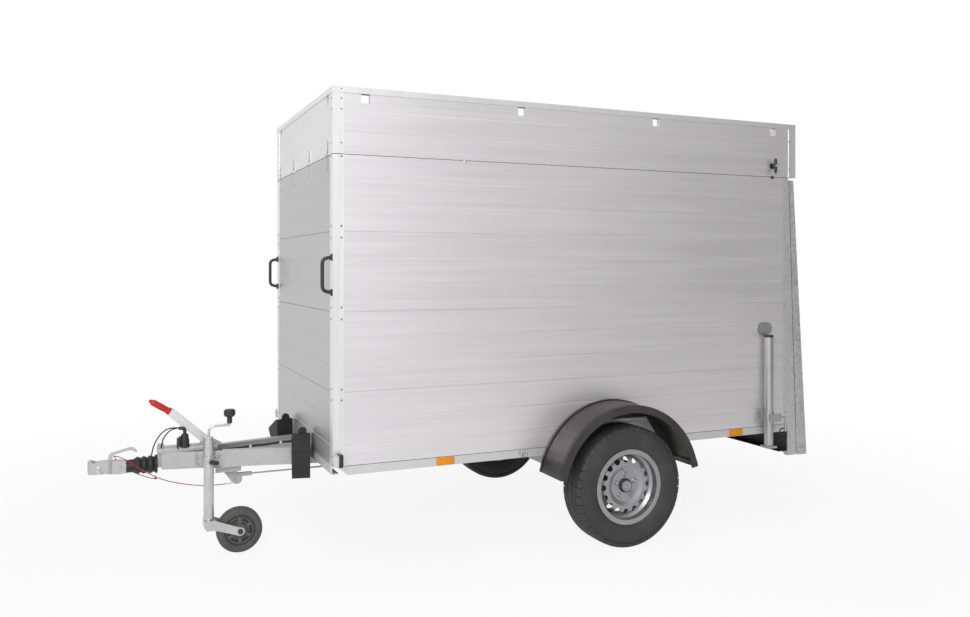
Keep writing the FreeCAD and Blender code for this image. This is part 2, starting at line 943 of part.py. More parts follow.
def ramp_deck():
    """The ramp's sheet with flat bars across its back, from rail to rail."""
    back = " - deck_thick"
    parts = [slab("deck_sheet", "side", deck_start, deck_span, [
        (rail_face("deck_low"), "deck_low"), (rail_face("ramp_top"), "ramp_top"),
        (rail_face("ramp_top") + back, "ramp_top"), (rail_face("deck_low") + back, "deck_low"),
    ])]
    for number in range(int(size.rung_count)):
        low = "(deck_low + (ramp_top - rung_tall - deck_low) * %d / (rung_count - 1))" % number
        high = "(%s + rung_tall)" % low
        parts.append(slab("rung_%d" % number, "side", deck_start, deck_span, [
            (rail_face(low) + back, low), (rail_face(high) + back, high),
            (rail_face(high) + back + " - rung_deep", high),
            (rail_face(low) + back + " - rung_deep", low),
        ]))
    return fuse("ramp_deck", parts)


def ramp_lug():
    """A lug on the post's inner side, with the pin that the ramp turns on."""
    lug_side = "half_width - post_wide - seat_gap - lug_thick"
    root = "rear_x - post_step - 2 * seat_gap"
    plate = slab("lug_plate", "side", lug_side, "lug_thick", [
        (root, "pivot_height - lug_radius"), ("pivot_x", "pivot_height - lug_radius"),
        ("pivot_x - lug_radius", "pivot_height"), ("pivot_x", "pivot_height + lug_radius"),
        (root, "pivot_height + 3 * lug_radius"),
    ])
    pin = rod("ramp_pin", "pivot_radius", "post_wide + seat_gap + lug_thick + cover_wall",
              ("pivot_x", lug_side, "pivot_height"), "+y")
    return fuse("ramp_lug_left", [plate, pin])


left_rail = node(ramp_rail())
node(mirrored("ramp_rail_right", left_rail))
node(ramp_deck())
node(pair("ramp_hinges", ramp_lug()))

# Upper frame
SIDE_HOLE_COUNT = 4
rim_low = "(frame_top - rim_tall)"
upper_back = "(rear_x - post_top_deep - upper_post_deep)"


def upper_side():
    """Upper boards of the left side, with square notches below the rim."""
    wall = grooved_wall(
        "upper_boards", "x", ("rear_x - post_top_deep", "front_x - board_wall - seat_gap"),
        ("half_width - board_wall", "half_width"), ("upper_low", rim_low + " - seat_gap"), upper_seams)
    holes = []
    for number in range(SIDE_HOLE_COUNT):
        holes.append(block(
            "side_hole_%d" % number, ("hole_side", "board_wall + 2 * overrun_cut", "hole_side"),
            ("front_x - hole_first - hole_pitch * %d - hole_side / 2" % number,
             "half_width - board_wall - overrun_cut", rim_low + " - hole_side")))
    return cut("upper_side_left", wall, holes)


def upper_front():
    """Upper boards of the front, with a square notch near each corner."""
    wall = grooved_wall(
        "upper_front_boards", "y", ("-half_width", "half_width"), ("front_x - board_wall", "front_x"),
        ("upper_low", rim_low + " - seat_gap"), upper_seams)
    hole = block("front_hole", ("board_wall + 2 * overrun_cut", "hole_side", "hole_side"),
                 ("front_x - board_wall - overrun_cut", "half_width - front_hole_inset - hole_side",
                  rim_low + " - hole_side"))
    return cut("upper_front", wall, [hole, mirrored("front_hole_right", hole)])


def rim_bars():
    """The rim's four bars, the side ones over the corners of the others."""
    side_bar = block("rim_left", ("front_x + rim_proud - %s" % upper_back,
                                  "board_wall + 2 * rim_proud", "rim_tall"),
                     (upper_back, "half_width - board_wall - rim_proud", rim_low))
    start = "-half_width + board_wall + rim_proud + seat_gap"
    span = "box_width - 2 * (board_wall + rim_proud + seat_gap)"
    front_bar = block("rim_front", ("board_wall + 2 * rim_proud", span, "rim_tall"),
                      ("front_x - board_wall - rim_proud", start, rim_low))
    rear_bar = block("rim_rear", ("board_wall", span, "rim_tall"), (upper_back, start, rim_low))
    return group("rim_sides", [pair("rim_long_bars", side_bar), front_bar, rear_bar])


lock_bar_shares = ((0, 0.5), (0.06, 0.78), (0.3, 1), (0.7, 1), (0.94, 0.78), (1, 0.5))


def lock_handle():
    """A T handle that locks the upper frame: plate, spindle and rounded bar."""
    spot = "(rear_x + lock_ahead)"
    centre = "(split_height + lock_rise)"
    face = "(half_width + seat_gap)"
    plate = rod("lock_plate", "lock_radius", "lock_plate_thick", (spot, face, centre), "+y")
    spindle = rod("lock_spindle", "lock_radius / 2.5", "lock_reach - lock_bar_radius", (spot, face, centre),
                  "+y")
    low = "(%s - lock_bar_long / 2)" % centre
    outline = [("%s + lock_bar_long * %g" % (low, along), "lock_bar_radius * %g" % wide)
               for along, wide in lock_bar_shares]
    bar = turned("lock_bar", "z", (spot, face + " + lock_reach - lock_bar_radius"),
                 [(low, "0")] + outline + [(low + " + lock_bar_long", "0")])
    return fuse("lock_left", [plate, spindle, bar])


def lock_catch():
    """A round cam at the split below the handle."""
    return rod("catch_left", "catch_radius", "catch_thick",
               ("rear_x + lock_ahead", "half_width + seat_gap", "split_height - catch_drop"), "+y")


left_upper = node(upper_side())
node(mirrored("upper_side_right", left_upper))
node(upper_front())
node(rim_bars())
node(pair("upper_rear_posts", block(
    "upper_post", ("upper_post_deep - seat_gap", "board_wall + rim_proud",
                   rim_low + " - seat_gap - upper_low"),
    (upper_back, "half_width - board_wall", "upper_low"))))
node(pair("upper_front_covers", corner_cover("upper_cover_left", "upper_low", rim_low + " - seat_gap")))
node(group("upper_locks", [pair("lock_handles", lock_handle()), pair("lock_catches", lock_catch())]))

# Strap hinges between the front boards and the upper frame
hinge_x = "(front_x + seat_gap + knuckle_radius)"
hinge_count = int(size.hinge_count)


def hinge_places():
    """Places along Y of the strap hinges."""
    return ["hinge_spread * (%d / %d - 1 / 2)" % (number, hinge_count - 1) for number in range(hinge_count)]


def lower_leaves():
    """Leaves on the fixed wall, each with the middle knuckle and the pin."""
    parts = []
    for number, spot in enumerate(hinge_places()):
        leaf = block("lower_leaf_%d" % number, ("hinge_leaf", "hinge_wide", "hinge_long"),
                     ("front_x + seat_gap", spot + " - hinge_wide / 2",
                      "split_height - knuckle_radius - pin_gap - hinge_long"))
        neck = block("lower_neck_%d" % number, ("hinge_leaf", "hinge_wide / 3",
                                                "knuckle_radius + 2 * pin_gap"),
                     ("front_x + seat_gap", spot + " - hinge_wide / 6",
                      "split_height - knuckle_radius - 2 * pin_gap"))
        knuckle = rod("lower_knuckle_%d" % number, "knuckle_radius", "hinge_wide / 3",
                      (hinge_x, spot + " - hinge_wide / 6", "split_height"), "+y")
        pin = rod("hinge_pin_%d" % number, "knuckle_bore - pin_gap / 4", "hinge_wide",
                  (hinge_x, spot + " - hinge_wide / 2", "split_height"), "+y")
        parts.append(fuse("lower_hinge_%d" % number, [leaf, neck, knuckle, pin]))
    return group("hinge_lower_leaves", parts)


def upper_leaves():
    """Leaves on the upper frame, each with two knuckles round the pin."""
    parts = []
    third = "hinge_wide / 3 - seat_gap"
    for number, spot in enumerate(hinge_places()):
        leaf = block("upper_leaf_%d" % number, ("hinge_leaf", "hinge_wide", "hinge_long"),
                     ("front_x + seat_gap", spot + " - hinge_wide / 2",
                      "split_height + knuckle_radius + pin_gap"))
        ends = []
        for end, shift in enumerate((" - hinge_wide / 2", " + hinge_wide / 6 + seat_gap")):
            ends.append(rod("upper_knuckle_%d_%d" % (number, end), "knuckle_radius", third,
                            (hinge_x, spot + shift, "split_height"), "+y"))
            ends.append(block("upper_neck_%d_%d" % (number, end),
                              ("hinge_leaf", third, "knuckle_radius + 2 * pin_gap"),
                              ("front_x + seat_gap", spot + shift, "split_height")))
        solid = fuse("upper_hinge_%d" % number, [leaf] + ends)
        bore = rod("upper_bore_%d" % number, "knuckle_bore", "hinge_wide + 2 * overrun_cut",
                   (hinge_x, spot + " - hinge_wide / 2 - overrun_cut", "split_height"), "+y")
        room = rod("upper_room_%d" % number, "knuckle_radius + pin_gap", "hinge_wide / 3 + 2 * seat_gap",
                   (hinge_x, spot + " - hinge_wide / 6 - seat_gap", "split_height"), "+y")
        parts.append(cut("upper_leaf_cut_%d" % number, solid, [bore, room]))
    return group("hinge_upper_leaves", parts)


node(lower_leaves())
node(upper_leaves())


# Grab handles, chocks and lashing eyes
def grab_handle():
    """A moulded bow handle with cut corners, on the corner cover."""
    low = "(rave_high + handle_rise - handle_span / 2)"
    high = "(rave_high + handle_rise + handle_span / 2)"
    face = "(front_x + cover_wall + seat_gap)"
    far = "(front_x + handle_reach)"
    thick = "handle_thick"
    points = [
        (face, low), (far + " - " + thick, low), (far, low + " + " + thick),
        (far, high + " - " + thick), (far + " - " + thick, high), (face, high),
        (face, high + " - " + thick), (far + " - 1.5 * " + thick, high + " - " + thick),
        (far + " - " + thick, high + " - 1.5 * " + thick), (far + " - " + thick, low + " + 1.5 * " + thick),
        (far + " - 1.5 * " + thick, low + " + " + thick), (face, low + " + " + thick),
    ]
    return slab("handle_left", "side", "half_width - handle_wide", "handle_wide", points)


node(pair("grab_handles", grab_handle()))
chock_shares = (
    (0, 0), (0.12, 0.015), (0.31, 0.16), (0.5, 0.33), (0.72, 0.5), (0.93, 0.64), (1, 0.7),
    (1, 0.74), (0.94, 0.765), (0.16, 1), (0.06, 1), (0, 0.97),
)


def wheel_chock():
    """A wedge stored upright beside the beam: a tyre's hollow below its crest, and a tab on top."""
    wedge = slab("chock_wedge", "end", "chock_start", "chock_wide",
                 shaped(("chock_stand", "chock_low"), ("chock_deep", "chock_tall"), chock_shares))
    base = "(chock_low + chock_tall - overrun_cut)"
    top = "(chock_low + chock_tall + chock_tab_tall)"
    side = "chock_tab_wide / 2"
    middle = "(chock_tab_start + chock_tab_wide / 2)"
    tab = slab("chock_tab", "side", "chock_stand", "chock_tab_thick", [
        ("%s - %s" % (middle, side), base), ("%s - %s" % (middle, side), "%s - %s" % (top, side)),
        ("%s - %s * 0.7" % (middle, side), "%s - %s * 0.3" % (top, side)), (middle, top),
        ("%s + %s * 0.7" % (middle, side), "%s - %s * 0.3" % (top, side)),
        ("%s + %s" % (middle, side), "%s - %s" % (top, side)), ("%s + %s" % (middle, side), base),
    ])
    return beside_beam(fuse("chock_left", [wedge, tab]))


def chock_holder():
    """The plate that carries a chock, on a stand-off at the beam's face."""
    plate = block("holder_plate_left", ("holder_wide", "holder_plate", "holder_tall"),
                  ("chock_tab_start", "chock_stand - seat_gap - holder_plate", "holder_low"))
    stand = block("holder_stand", ("holder_wide", "chock_stand - 2 * seat_gap", "beam_tall / 2"),
                  ("chock_tab_start", "seat_gap", "beam_low + beam_tall / 4"))
    return beside_beam(fuse("holder_left", [plate, stand]))


def lashing_eye():
    """A bent round bar below the side rave's face, to tie a rope on."""
    x, y, z = size.front_x - size.eye_back, size.half_width + size.seat_gap, size.rave_high
    half = size.eye_wide / 2
    out = y + size.eye_reach
    low = z - size.eye_tall
    high = z - 2 * size.eye_radius
    route = [Vector(x - half, y, high), Vector(x - half, out, high), Vector(x - half, out, low),
             Vector(x + half, out, low), Vector(x + half, out, high), Vector(x + half, y, high)]
    return plain("eye_left", tube_along(route, size.eye_radius)[0])


node(pair("wheel_chocks", wheel_chock()))
node(pair("chock_holders", chock_holder()))
node(pair("lashing_eyes", lashing_eye()))

# Running gear
disc_back = "(wheel_y + disc_out - 3 * rim_wall)"


def axle_beam():
    """The cross tube of the rubber-sprung axle, and the brackets that hold it on the beams."""
    half = "axle_side / 2"
    tube = block("axle_bar", ("axle_side", "2 * axle_half", "axle_side"),
                 ("axle_x - " + half, "-axle_half", "axle_height - " + half))
    foot = "(axle_height + axle_side / 2 + seat_gap)"
    bracket = block("axle_bracket_left",
                    ("axle_side + 2 * sheet_wall", "beam_flange * 2", "beam_low - seat_gap - " + foot),
                    ("axle_x - axle_side / 2 - sheet_wall", beam_outer("axle_x") + " - beam_flange * 1.5",
                     foot))
    return group("axle_tube", [tube, pair("axle_brackets", bracket)])


def swing_arm():
    """The trailing arm from the tube's end to the wheel's stub, with the brake's back plate."""
    arm = slab("arm_plate", "side", "axle_half + seat_gap", "arm_thick", [
        ("axle_x + arm_wide / 2", "axle_height - arm_wide / 2"),
        ("axle_x + arm_wide / 2", "axle_height + arm_wide / 2"),
        ("wheel_x", "tyre_radius + arm_wide / 2"),
        ("wheel_x - arm_wide / 2", "tyre_radius + arm_wide / 4"),
        ("wheel_x - arm_wide / 2", "tyre_radius - arm_wide / 4"),
        ("wheel_x", "tyre_radius - arm_wide / 2"),
    ])
    stub = rod("stub_axle", "stub_radius", disc_back + " - 3 * sheet_wall - axle_half",
               ("wheel_x", "axle_half + 2 * seat_gap", "tyre_radius"), "+y")
    plate = rod("back_plate", "drum_radius", "sheet_wall",
                ("wheel_x", disc_back + " - drum_thick - 2 * sheet_wall", "tyre_radius"), "+y")
    return fuse("swing_arm_left", [arm, stub, plate])


def brake_drum():
    """The drum and hub that the wheel is bolted on, which turn on the stub axle."""
    face = "(%s - seat_gap)" % disc_back
    back = "(%s - drum_thick)" % face
    bolted = "bolt_circle + 1.5 * bolt_radius"
    return turned("brake_drum_left", "y", ("wheel_x", "tyre_radius"), [
        (back, "stub_radius + pin_gap"), (back, "2 * stub_radius"),
        (face + " - 3 * sheet_wall", "2 * stub_radius"),
        (face + " - 3 * sheet_wall", "drum_radius - 2 * sheet_wall"),
        (back, "drum_radius - 2 * sheet_wall"), (back, "drum_radius"),
        (face + " - 2 * sheet_wall", "drum_radius"), (face + " - sheet_wall", bolted),
        (face, bolted), (face, "hub_radius - seat_gap"),
        (face + " + hub_reach - 2 * sheet_wall", "hub_radius - seat_gap"),
        (face + " + hub_reach - sheet_wall", "hub_radius * 0.94"),
        (face + " + hub_reach", "hub_radius * 0.8"),
        (face + " + hub_reach", "0"), (face + " - sheet_wall", "0"),
        (face + " - sheet_wall", "stub_radius + pin_gap"),
    ])


shoulder_shares = ((1, 0.5), (0.985, 0.66), (0.94, 0.8), (0.87, 0.91), (0.77, 0.975), (0.66, 1))


def tyre():
    """A road tyre: rounded shoulders, straight tread and a bead on each side."""
    side = [("tyre_half * %g" % out, "bead_radius + (tyre_radius - bead_radius) * %g" % up)
            for out, up in shoulder_shares]
    foot = [("bead_half", "bead_radius"), ("bead_half", "flange_radius + seat_gap"),
            ("tyre_half * 0.88", "flange_radius + 2 * rim_wall")]
    half = foot + side
    points = half + [("-%s" % spot, radius) for spot, radius in half[::-1]]
    return turned("tyre_left", "y", ("wheel_x", "tyre_radius"),
                  [("wheel_y + (%s)" % spot, radius) for spot, radius in points])


def rim():
    """A pressed steel wheel: barrel with flanges, and a dished disc with round vents."""
    lip = "(bead_half + seat_gap)"
    seat = "(bead_radius - seat_gap)"
    well = "(bead_radius - 4 * rim_wall)"
    inside = seat + " - rim_wall"
    points = [
        (lip, "flange_radius"), (lip + " + rim_wall", "flange_radius"),
        (lip + " + rim_wall", inside), ("bead_half / 2", inside),
        ("bead_half / 4", well + " - rim_wall"), ("-bead_half / 2", well + " - rim_wall"),
        ("-bead_half * 0.6", inside), ("-%s - rim_wall" % lip, inside),
        ("-%s - rim_wall" % lip, "flange_radius"), ("-" + lip, "flange_radius"),
        ("-" + lip, seat), ("-bead_half / 2", seat), ("-bead_half * 0.4", well), ("bead_half / 8", well),
        ("bead_half * 0.4", seat), (lip, seat),
    ]
    barrel = turned("rim_barrel", "y", ("wheel_x", "tyre_radius"),
                    [("wheel_y + (%s)" % spot, radius) for spot, radius in points])
    edge = well + " - rim_wall / 2"
    bolted = "bolt_circle + 2 * bolt_radius"
    disc_points = [
        ("disc_out - 3 * rim_wall", "hub_radius"), ("disc_out - 2 * rim_wall", "hub_radius"),
        ("disc_out - 2 * rim_wall", bolted), ("disc_out", "vent_circle - 2 * vent_radius"),
        ("disc_out", "vent_circle"), ("disc_out - 3 * rim_wall", edge),
        ("disc_out - 8 * rim_wall", edge), ("disc_out - 8 * rim_wall", edge + " - rim_wall"),
        ("disc_out - 4 * rim_wall", edge + " - rim_wall"),
        ("disc_out - rim_wall", "vent_circle - rim_wall / 2"),
        ("disc_out - rim_wall", "vent_circle - 2 * vent_radius"), ("disc_out - 3 * rim_wall", bolted),
    ]
    disc = turned("rim_disc", "y", ("wheel_x", "tyre_radius"),
                  [("wheel_y + (%s)" % spot, radius) for spot, radius in disc_points])
    vents = []
    for number in range(int(size.vent_count)):
        angle = 360 / size.vent_count * number
        vents.append(rod("vent_%d" % number, "vent_radius", "2 * disc_out",
                         ("wheel_x + vent_circle * cos(%g)" % angle, "wheel_y",
                          "tyre_radius + vent_circle * sin(%g)" % angle), "+y"))
    return fuse("rim_left_wheel", [barrel, cut("vented_disc", disc, vents)])


node(axle_beam())
node(pair("swing_arms", swing_arm()))
left_drum = node(brake_drum())
node(mirrored("brake_drum_right", left_drum))
left_tyre = node(tyre())
node(mirrored("tyre_right", left_tyre))
left_rim = node(rim())
node(mirrored("rim_right_wheel", left_rim))

# Mudguards
GUARD_ARC_COUNT = 28
guard_centre = ("guard_x", "guard_lift")


def guard_band(name, start, wide, outer, inner, first, last, spans=GUARD_ARC_COUNT):
    """A band of the arch between two radii and two angles."""
    return slab(name, "side", start, wide,
                along_arc(guard_centre, outer, first, last, spans)
                + along_arc(guard_centre, inner, last, first, spans))


def mudguard():
    """A wide plastic arch: rolled outer lip, raised rib along the box, a flat foot at each end."""
    first, last = size.guard_first_angle, size.guard_last_angle
    inner = "guard_radius - guard_wall"
    edge = "guard_inner + guard_wide"
    arch = guard_band("guard_arch", "guard_inner", "guard_wide", "guard_radius", inner, first, last)
    lip = guard_band("guard_lip_band", edge + " - guard_wall", "guard_wall",
                     "guard_radius", "guard_radius - guard_lip", first, last)
    bead = guard_band("guard_lip_bead", edge + " - 2 * guard_bead", "guard_bead",
                      "guard_radius + guard_bead / 2", inner, first, last)
    rib = guard_band("guard_rib", "guard_inner", "2 * guard_bead",
                     "guard_radius + guard_bead", inner, first, last)
    foot = math.degrees(size.guard_foot_long / size.guard_radius)
    clear = "(half_width + 3 * sheet_wall + 2 * seat_gap)"
    feet = []
    for end, (low, high) in enumerate(((first, first + foot), (last - foot, last))):
        feet.append(guard_band("guard_foot_%d" % end, clear, edge + " - " + clear,
                               "guard_radius + guard_bead / 2", "guard_radius - guard_bead * 2", low, high,
                               2))
    return fuse("guard_left", [arch, lip, bead, rib] + feet)


stay_shares = (
    (-0.86, 0.15), (-0.737, 0.5), (-0.575, 0.75), (0.575, 0.75), (0.737, 0.5), (0.86, 0.15),
)


def mudguard_stay():
    """A plate between the box side and the guard, cut back in the middle to a flat arch."""
    arc = along_arc(guard_centre, "guard_radius - guard_wall - seat_gap",
                    size.guard_first_angle, size.guard_last_angle, GUARD_ARC_COUNT)
    return slab("guard_stay", "side", "half_width + seat_gap", "3 * sheet_wall",
                arc + shaped(guard_centre, ("guard_radius", "guard_radius"), stay_shares))


node(pair("mudguards", mudguard()))
node(pair("mudguard_stays", mudguard_stay()))


# Overrun housing, bellows and coupling
def overrun_housing():
    """The box between the beams, its folded top, bolted cheeks, stop block and lever yoke."""
    front, back = "front_x + housing_front", "front_x + housing_back"
    long = "housing_front - housing_back"
    box = block("housing_box", (long, "2 * housing_half", "housing_tall + seat_gap"),
                (back, "-housing_half", "beam_top - housing_tall"))
    low = "beam_top + seat_gap"
    bevel = "cover_top_bevel"
    half = "cover_top_half"
    top = slab("housing_top", "end", back, long, [
        ("-" + half, low), (half, low), (half, "cover_top - " + bevel),
        ("%s - %s" % (half, bevel), "cover_top"), ("-%s + %s" % (half, bevel), "cover_top"),
        ("-" + half, "cover_top - " + bevel),
    ])
    cheek = beam_strip("housing_cheek", "front_x + cheek_front", "front_x + cheek_back",
                       "-seat_gap", "-seat_gap - beam_wall", "cheek_low", "cheek_tall + 2 * sheet_wall")
    stop = block("housing_stop", ("stop_long", "2 * sheet_wall", "stop_tall + sheet_wall"),
                 (front + " - stop_long", "-sheet_wall", "cover_top - sheet_wall"))
    yoke_side = "(lever_wide / 2 + seat_gap)"
    yoke_base = "cover_top - sheet_wall"
    yoke = slab("yoke_left", "side", yoke_side, "beam_wall", [
        ("front_x + yoke_back", yoke_base), ("front_x + yoke_front", yoke_base),
        ("lever_x + 2 * lever_pin_radius", "cover_top + yoke_rise"),
        ("lever_x - 3 * lever_pin_radius", "cover_top + yoke_rise"),
    ])
    pin = rod("lever_pin", "lever_pin_radius", "2 * (%s + beam_wall)" % yoke_side,
              ("lever_x", "-%s - beam_wall" % yoke_side, "lever_height"), "+y")
    return fuse("overrun_housing", [box, top, cheek, mirrored("housing_cheek_right", cheek), stop,
                                    yoke, mirrored("yoke_right", yoke), pin])


bellows_shares = (
    (0, 0.7), (0.22, 0.7), (0.26, 0.76), (0.34, 0.93), (0.39, 0.93), (0.465, 0.77), (0.54, 0.95),
    (0.59, 0.95), (0.67, 0.78), (0.75, 0.98), (0.8, 0.98), (0.88, 0.8), (0.94, 1), (1, 1),
)


def bellows():
    """A rubber boot of folds that widen to the rear."""
    front = "front_x + bellows_front"
    back = "front_x + housing_front + seat_gap"
    points = [(back, "bellows_bore"), (front, "bellows_bore")]
    for along, wide in bellows_shares:
        points.append(("%s + (%s - (%s)) * %g" % (front, back, front, along), "bellows_radius * %g" % wide))
    return turned("bellows", "x", ("0", "pull_height"), points)


head_side_shares = (
    (0, 0.02), (0, 0.96), (0.14, 1.06), (0.5, 1.1), (0.82, 1.04), (0.88, 1.06), (0.9, 1.2),
    (0.955, 1.22), (1, 1.08), (1, 0.3), (0.97, 0.12), (0.5, 0.1), (0.37, 0), (0.14, -0.04),
)
head_plan_shares = (
    (0, 1), (0.14, 0.86), (0.36, 0.86), (0.46, 1.2), (0.84, 1.2), (0.93, 1), (1, 0.66),
)


def coupling_head():
    """A cast head: a neck and ridge, a round cup over the ball's socket and a lipped nose."""
    back = "(front_x + bellows_front + seat_gap)"
    long = "(nose_reach - bellows_front - seat_gap)"
    side = slab("head_side", "side", "-2 * cup_radius", "4 * cup_radius",
                shaped((back, "pull_height - neck_tall / 2"), (long, "neck_tall"), head_side_shares))
    left = shaped((back, "0"), (long, "neck_half"), head_plan_shares)
    right = [(spot, "-(%s)" % half) for spot, half in left[::-1]]
    plan = slab("head_plan", "plan", "pull_height - 2 * neck_tall", "4 * neck_tall", left + right)
    form = common("head_form", side, plan)
    cup_low = "(pull_height - cup_tall)"
    cup = turned("head_cup", "z", ("ball_x", "0"), [
        (cup_low, "0"), (cup_low, "cup_radius"), (cup_low + " + cup_tall * 0.3", "cup_radius"),
        (cup_low + " + cup_tall * 0.45", "cup_radius * 0.93"),
        ("pull_height + cup_tall * 0.5", "cup_radius * 0.89"),
        ("pull_height + cup_tall * 1.3", "cup_radius * 0.66"),
        ("pull_height + cup_tall * 1.65", "cup_radius * 0.36"),
        ("pull_height + cup_tall * 1.65", "0"),
    ])
    well = rod("socket_well", "ball_radius", "2 * ball_radius", ("ball_x", "0", "ball_height"), "-z")
    dome = doc.addObject("Part::Sphere", "socket_dome")
    bind(dome, "Radius", "ball_radius")
    place(dome, ("ball_x", "0", "ball_height"))
    return cut("coupling_head", fuse("head_casting", [form, cup]), [fuse("socket", [well, dome])])


head_seat_share = 0.596
pull_handle_shares = (
    (0.84, 0), (1, 0), (0.99, 0.4), (0.91, 0.62), (0.25, 1), (0.1, 0.93), (0, 0.66), (0.03, 0.56),
    (0.14, 0.7), (0.26, 0.8), (0.8, 0.5), (0.85, 0.3),
)


def coupling_handle():
    """The curved hand lever that opens the coupling."""
    base = "(pull_height + neck_tall * %g + seat_gap)" % head_seat_share
    return slab("coupling_handle", "side", "-pull_handle_wide / 2", "pull_handle_wide",
                shaped(("(front_x + pull_handle_back)", base),
                       ("pull_handle_front - pull_handle_back", "pull_handle_tall"), pull_handle_shares))


node(overrun_housing())
node(bellows())
node(coupling_head())
node(coupling_handle())

# Handbrake lever, its grip and the brake linkage
LEVER_ARC_COUNT = 6
lever_end_share = 0.169


def handbrake_lever():
    """A folded channel, open below, that turns on the yoke's pin."""
    half = "lever_half"
    lean_end = "lever_half * %g" % lever_end_share
    outer = along_arc(("0", "0"), half, 90, 270, LEVER_ARC_COUNT)
    outer += [("lever_long - %s" % lean_end, "-" + half), ("lever_long + %s" % lean_end, half)]
    whole = slab("lever_whole", "side", "-lever_wide / 2", "lever_wide", outer,
                 [(("0", "0"), "lever_pin_radius + seat_gap")])
    inner = [("-lever_half - overrun_cut", "-lever_half - overrun_cut"),
             ("lever_long + 2 * overrun_cut + lever_half", "-lever_half - overrun_cut"),
             ("lever_long + 2 * overrun_cut + lever_half", "lever_half - lever_wall"),
             ("-lever_half - overrun_cut", "lever_half - lever_wall")]
    hollow = slab("lever_hollow", "side", "-lever_wide / 2 + lever_wall", "lever_wide - 2 * lever_wall",
                  inner)
    plug = slab("lever_end_plug", "side", "-lever_wide / 2 + lever_wall / 2", "lever_wide - lever_wall", [
        ("lever_long - 2 * lever_half", "-lever_half / 2"),
        ("lever_long - %s / 2" % lean_end, "-lever_half / 2"),
        ("lever_long + %s" % lean_end, "lever_half - lever_wall / 2"),
        ("lever_long - 2 * lever_half", "lever_half - lever_wall / 2"),
    ])
    return tilted(fuse("handbrake_lever", [cut("lever_channel", whole, [hollow]), plug]),
                  ("lever_x", "0", "lever_height"), "lever_angle")


grip_shares = (
    (0, 0.8), (0.02, 1.15), (0.1, 1.2), (0.16, 0.97), (0.5, 1.03), (0.88, 1), (0.97, 0.88), (1, 0.66),
)


def handbrake_grip():
    """The moulded grip with a flared collar, and the release button at its tip."""
    start = "seat_gap"
    points = [(start, "0")]
    for along, wide in grip_shares:
        points.append(("%s + grip_long * %g" % (start, along), "grip_radius * %g" % wide))
    tip = start + " + grip_long"
    points += [(tip, "button_radius"), (tip + " + button_long * 0.85", "button_radius"),
               (tip + " + button_long", "button_radius * 0.6"), (tip + " + button_long", "0")]
    grip = turned("handbrake_grip", "x", ("0", "0"), points)
    return tilted(grip, ("lever_x + lever_long * cos(lever_angle)", "0",
                         "lever_height + lever_long * sin(lever_angle)"), "grip_angle")


link_shares = (
    (0, -0.67), (0.3, -0.72), (0.55, -0.92), (0.76, -1), (0.9, -0.78), (0.98, -0.4), (1, 0), (0.98, 0.4),
    (0.9, 0.78), (0.76, 1), (0.55, 0.92), (0.3, 0.72), (0, 0.67), (-0.12, 0.45), (-0.165, 0), (-0.12, -0.45),
)
link_drop_share = 0.36


def brake_linkage():
    """A gusset below the beams, the arm on its pin, and the clevis and rod to the axle."""
    half = "gusset_half"
    wall = "beam_wall"
    top = "(beam_low - seat_gap)"
    low = "(beam_low - gusset_tall)"
    start, long = "front_x + gusset_back", "gusset_front - gusset_back"
    reach = "(%s - beam_wall)" % beam_outer("front_x + gusset_back + gusset_half")
    gusset = slab("gusset", "end", start, long, [
        ("-" + reach, top), (reach, top), (reach, "%s - %s" % (top, wall)), (half, "%s - %s" % (top, wall)),
        (half, low), ("%s - %s" % (half, wall), low), ("%s - %s" % (half, wall), "%s - %s" % (top, wall)),
        ("-%s + %s" % (half, wall), "%s - %s" % (top, wall)), ("-%s + %s" % (half, wall), low),
        ("-" + half, low), ("-" + half, "%s - %s" % (top, wall)), ("-" + reach, "%s - %s" % (top, wall)),
    ])
    pin = rod("link_pin", "lever_pin_radius", "2 * gusset_half", ("link_x", "-gusset_half", "link_height"),
              "+y")
    arm = tilted(slab("link_arm", "side", "-link_thick / 2", "link_thick",
                      shaped(("0", "0"), ("link_long", "link_radius"), link_shares)),
                 ("link_x", "0", "link_height"), "180 + link_angle")
    level = "(link_height - link_long * %g)" % link_drop_share
    clevis = block("clevis_bar", ("clevis_front - clevis_back", "3 * link_thick", "clevis_tall"),
                   ("front_x + clevis_back", "-1.5 * link_thick", "%s - clevis_tall / 2" % level))
    slot = block("clevis_slot", ("clevis_front - clevis_back", "link_thick + 2 * seat_gap",
                                 "clevis_tall + 2 * overrun_cut"),
                 ("front_x + clevis_back + clevis_tall", "-link_thick / 2 - seat_gap",
                  "%s - clevis_tall / 2 - overrun_cut" % level))
    clevis_pin = rod("clevis_pin", "brake_rod_radius", "3 * link_thick",
                     ("front_x + clevis_front - clevis_tall / 2", "-1.5 * link_thick", level), "+y")
    far = "(axle_x + axle_side / 2 + seat_gap)"
    pull_rod = rod("pull_rod", "brake_rod_radius", "front_x + clevis_back + clevis_tall / 2 - " + far,
                   (far, "0", level), "+x")
    bar = block("equaliser", ("2 * brake_rod_radius", "2 * equaliser_half", "4 * brake_rod_radius"),
                (far + " + equaliser_half", "-equaliser_half", level + " - 2 * brake_rod_radius"))
    return fuse("brake_linkage", [gusset, pin, arm, cut("clevis", clevis, [slot]), clevis_pin, pull_rod, bar])


node(handbrake_lever())
node(handbrake_grip())
node(brake_linkage())


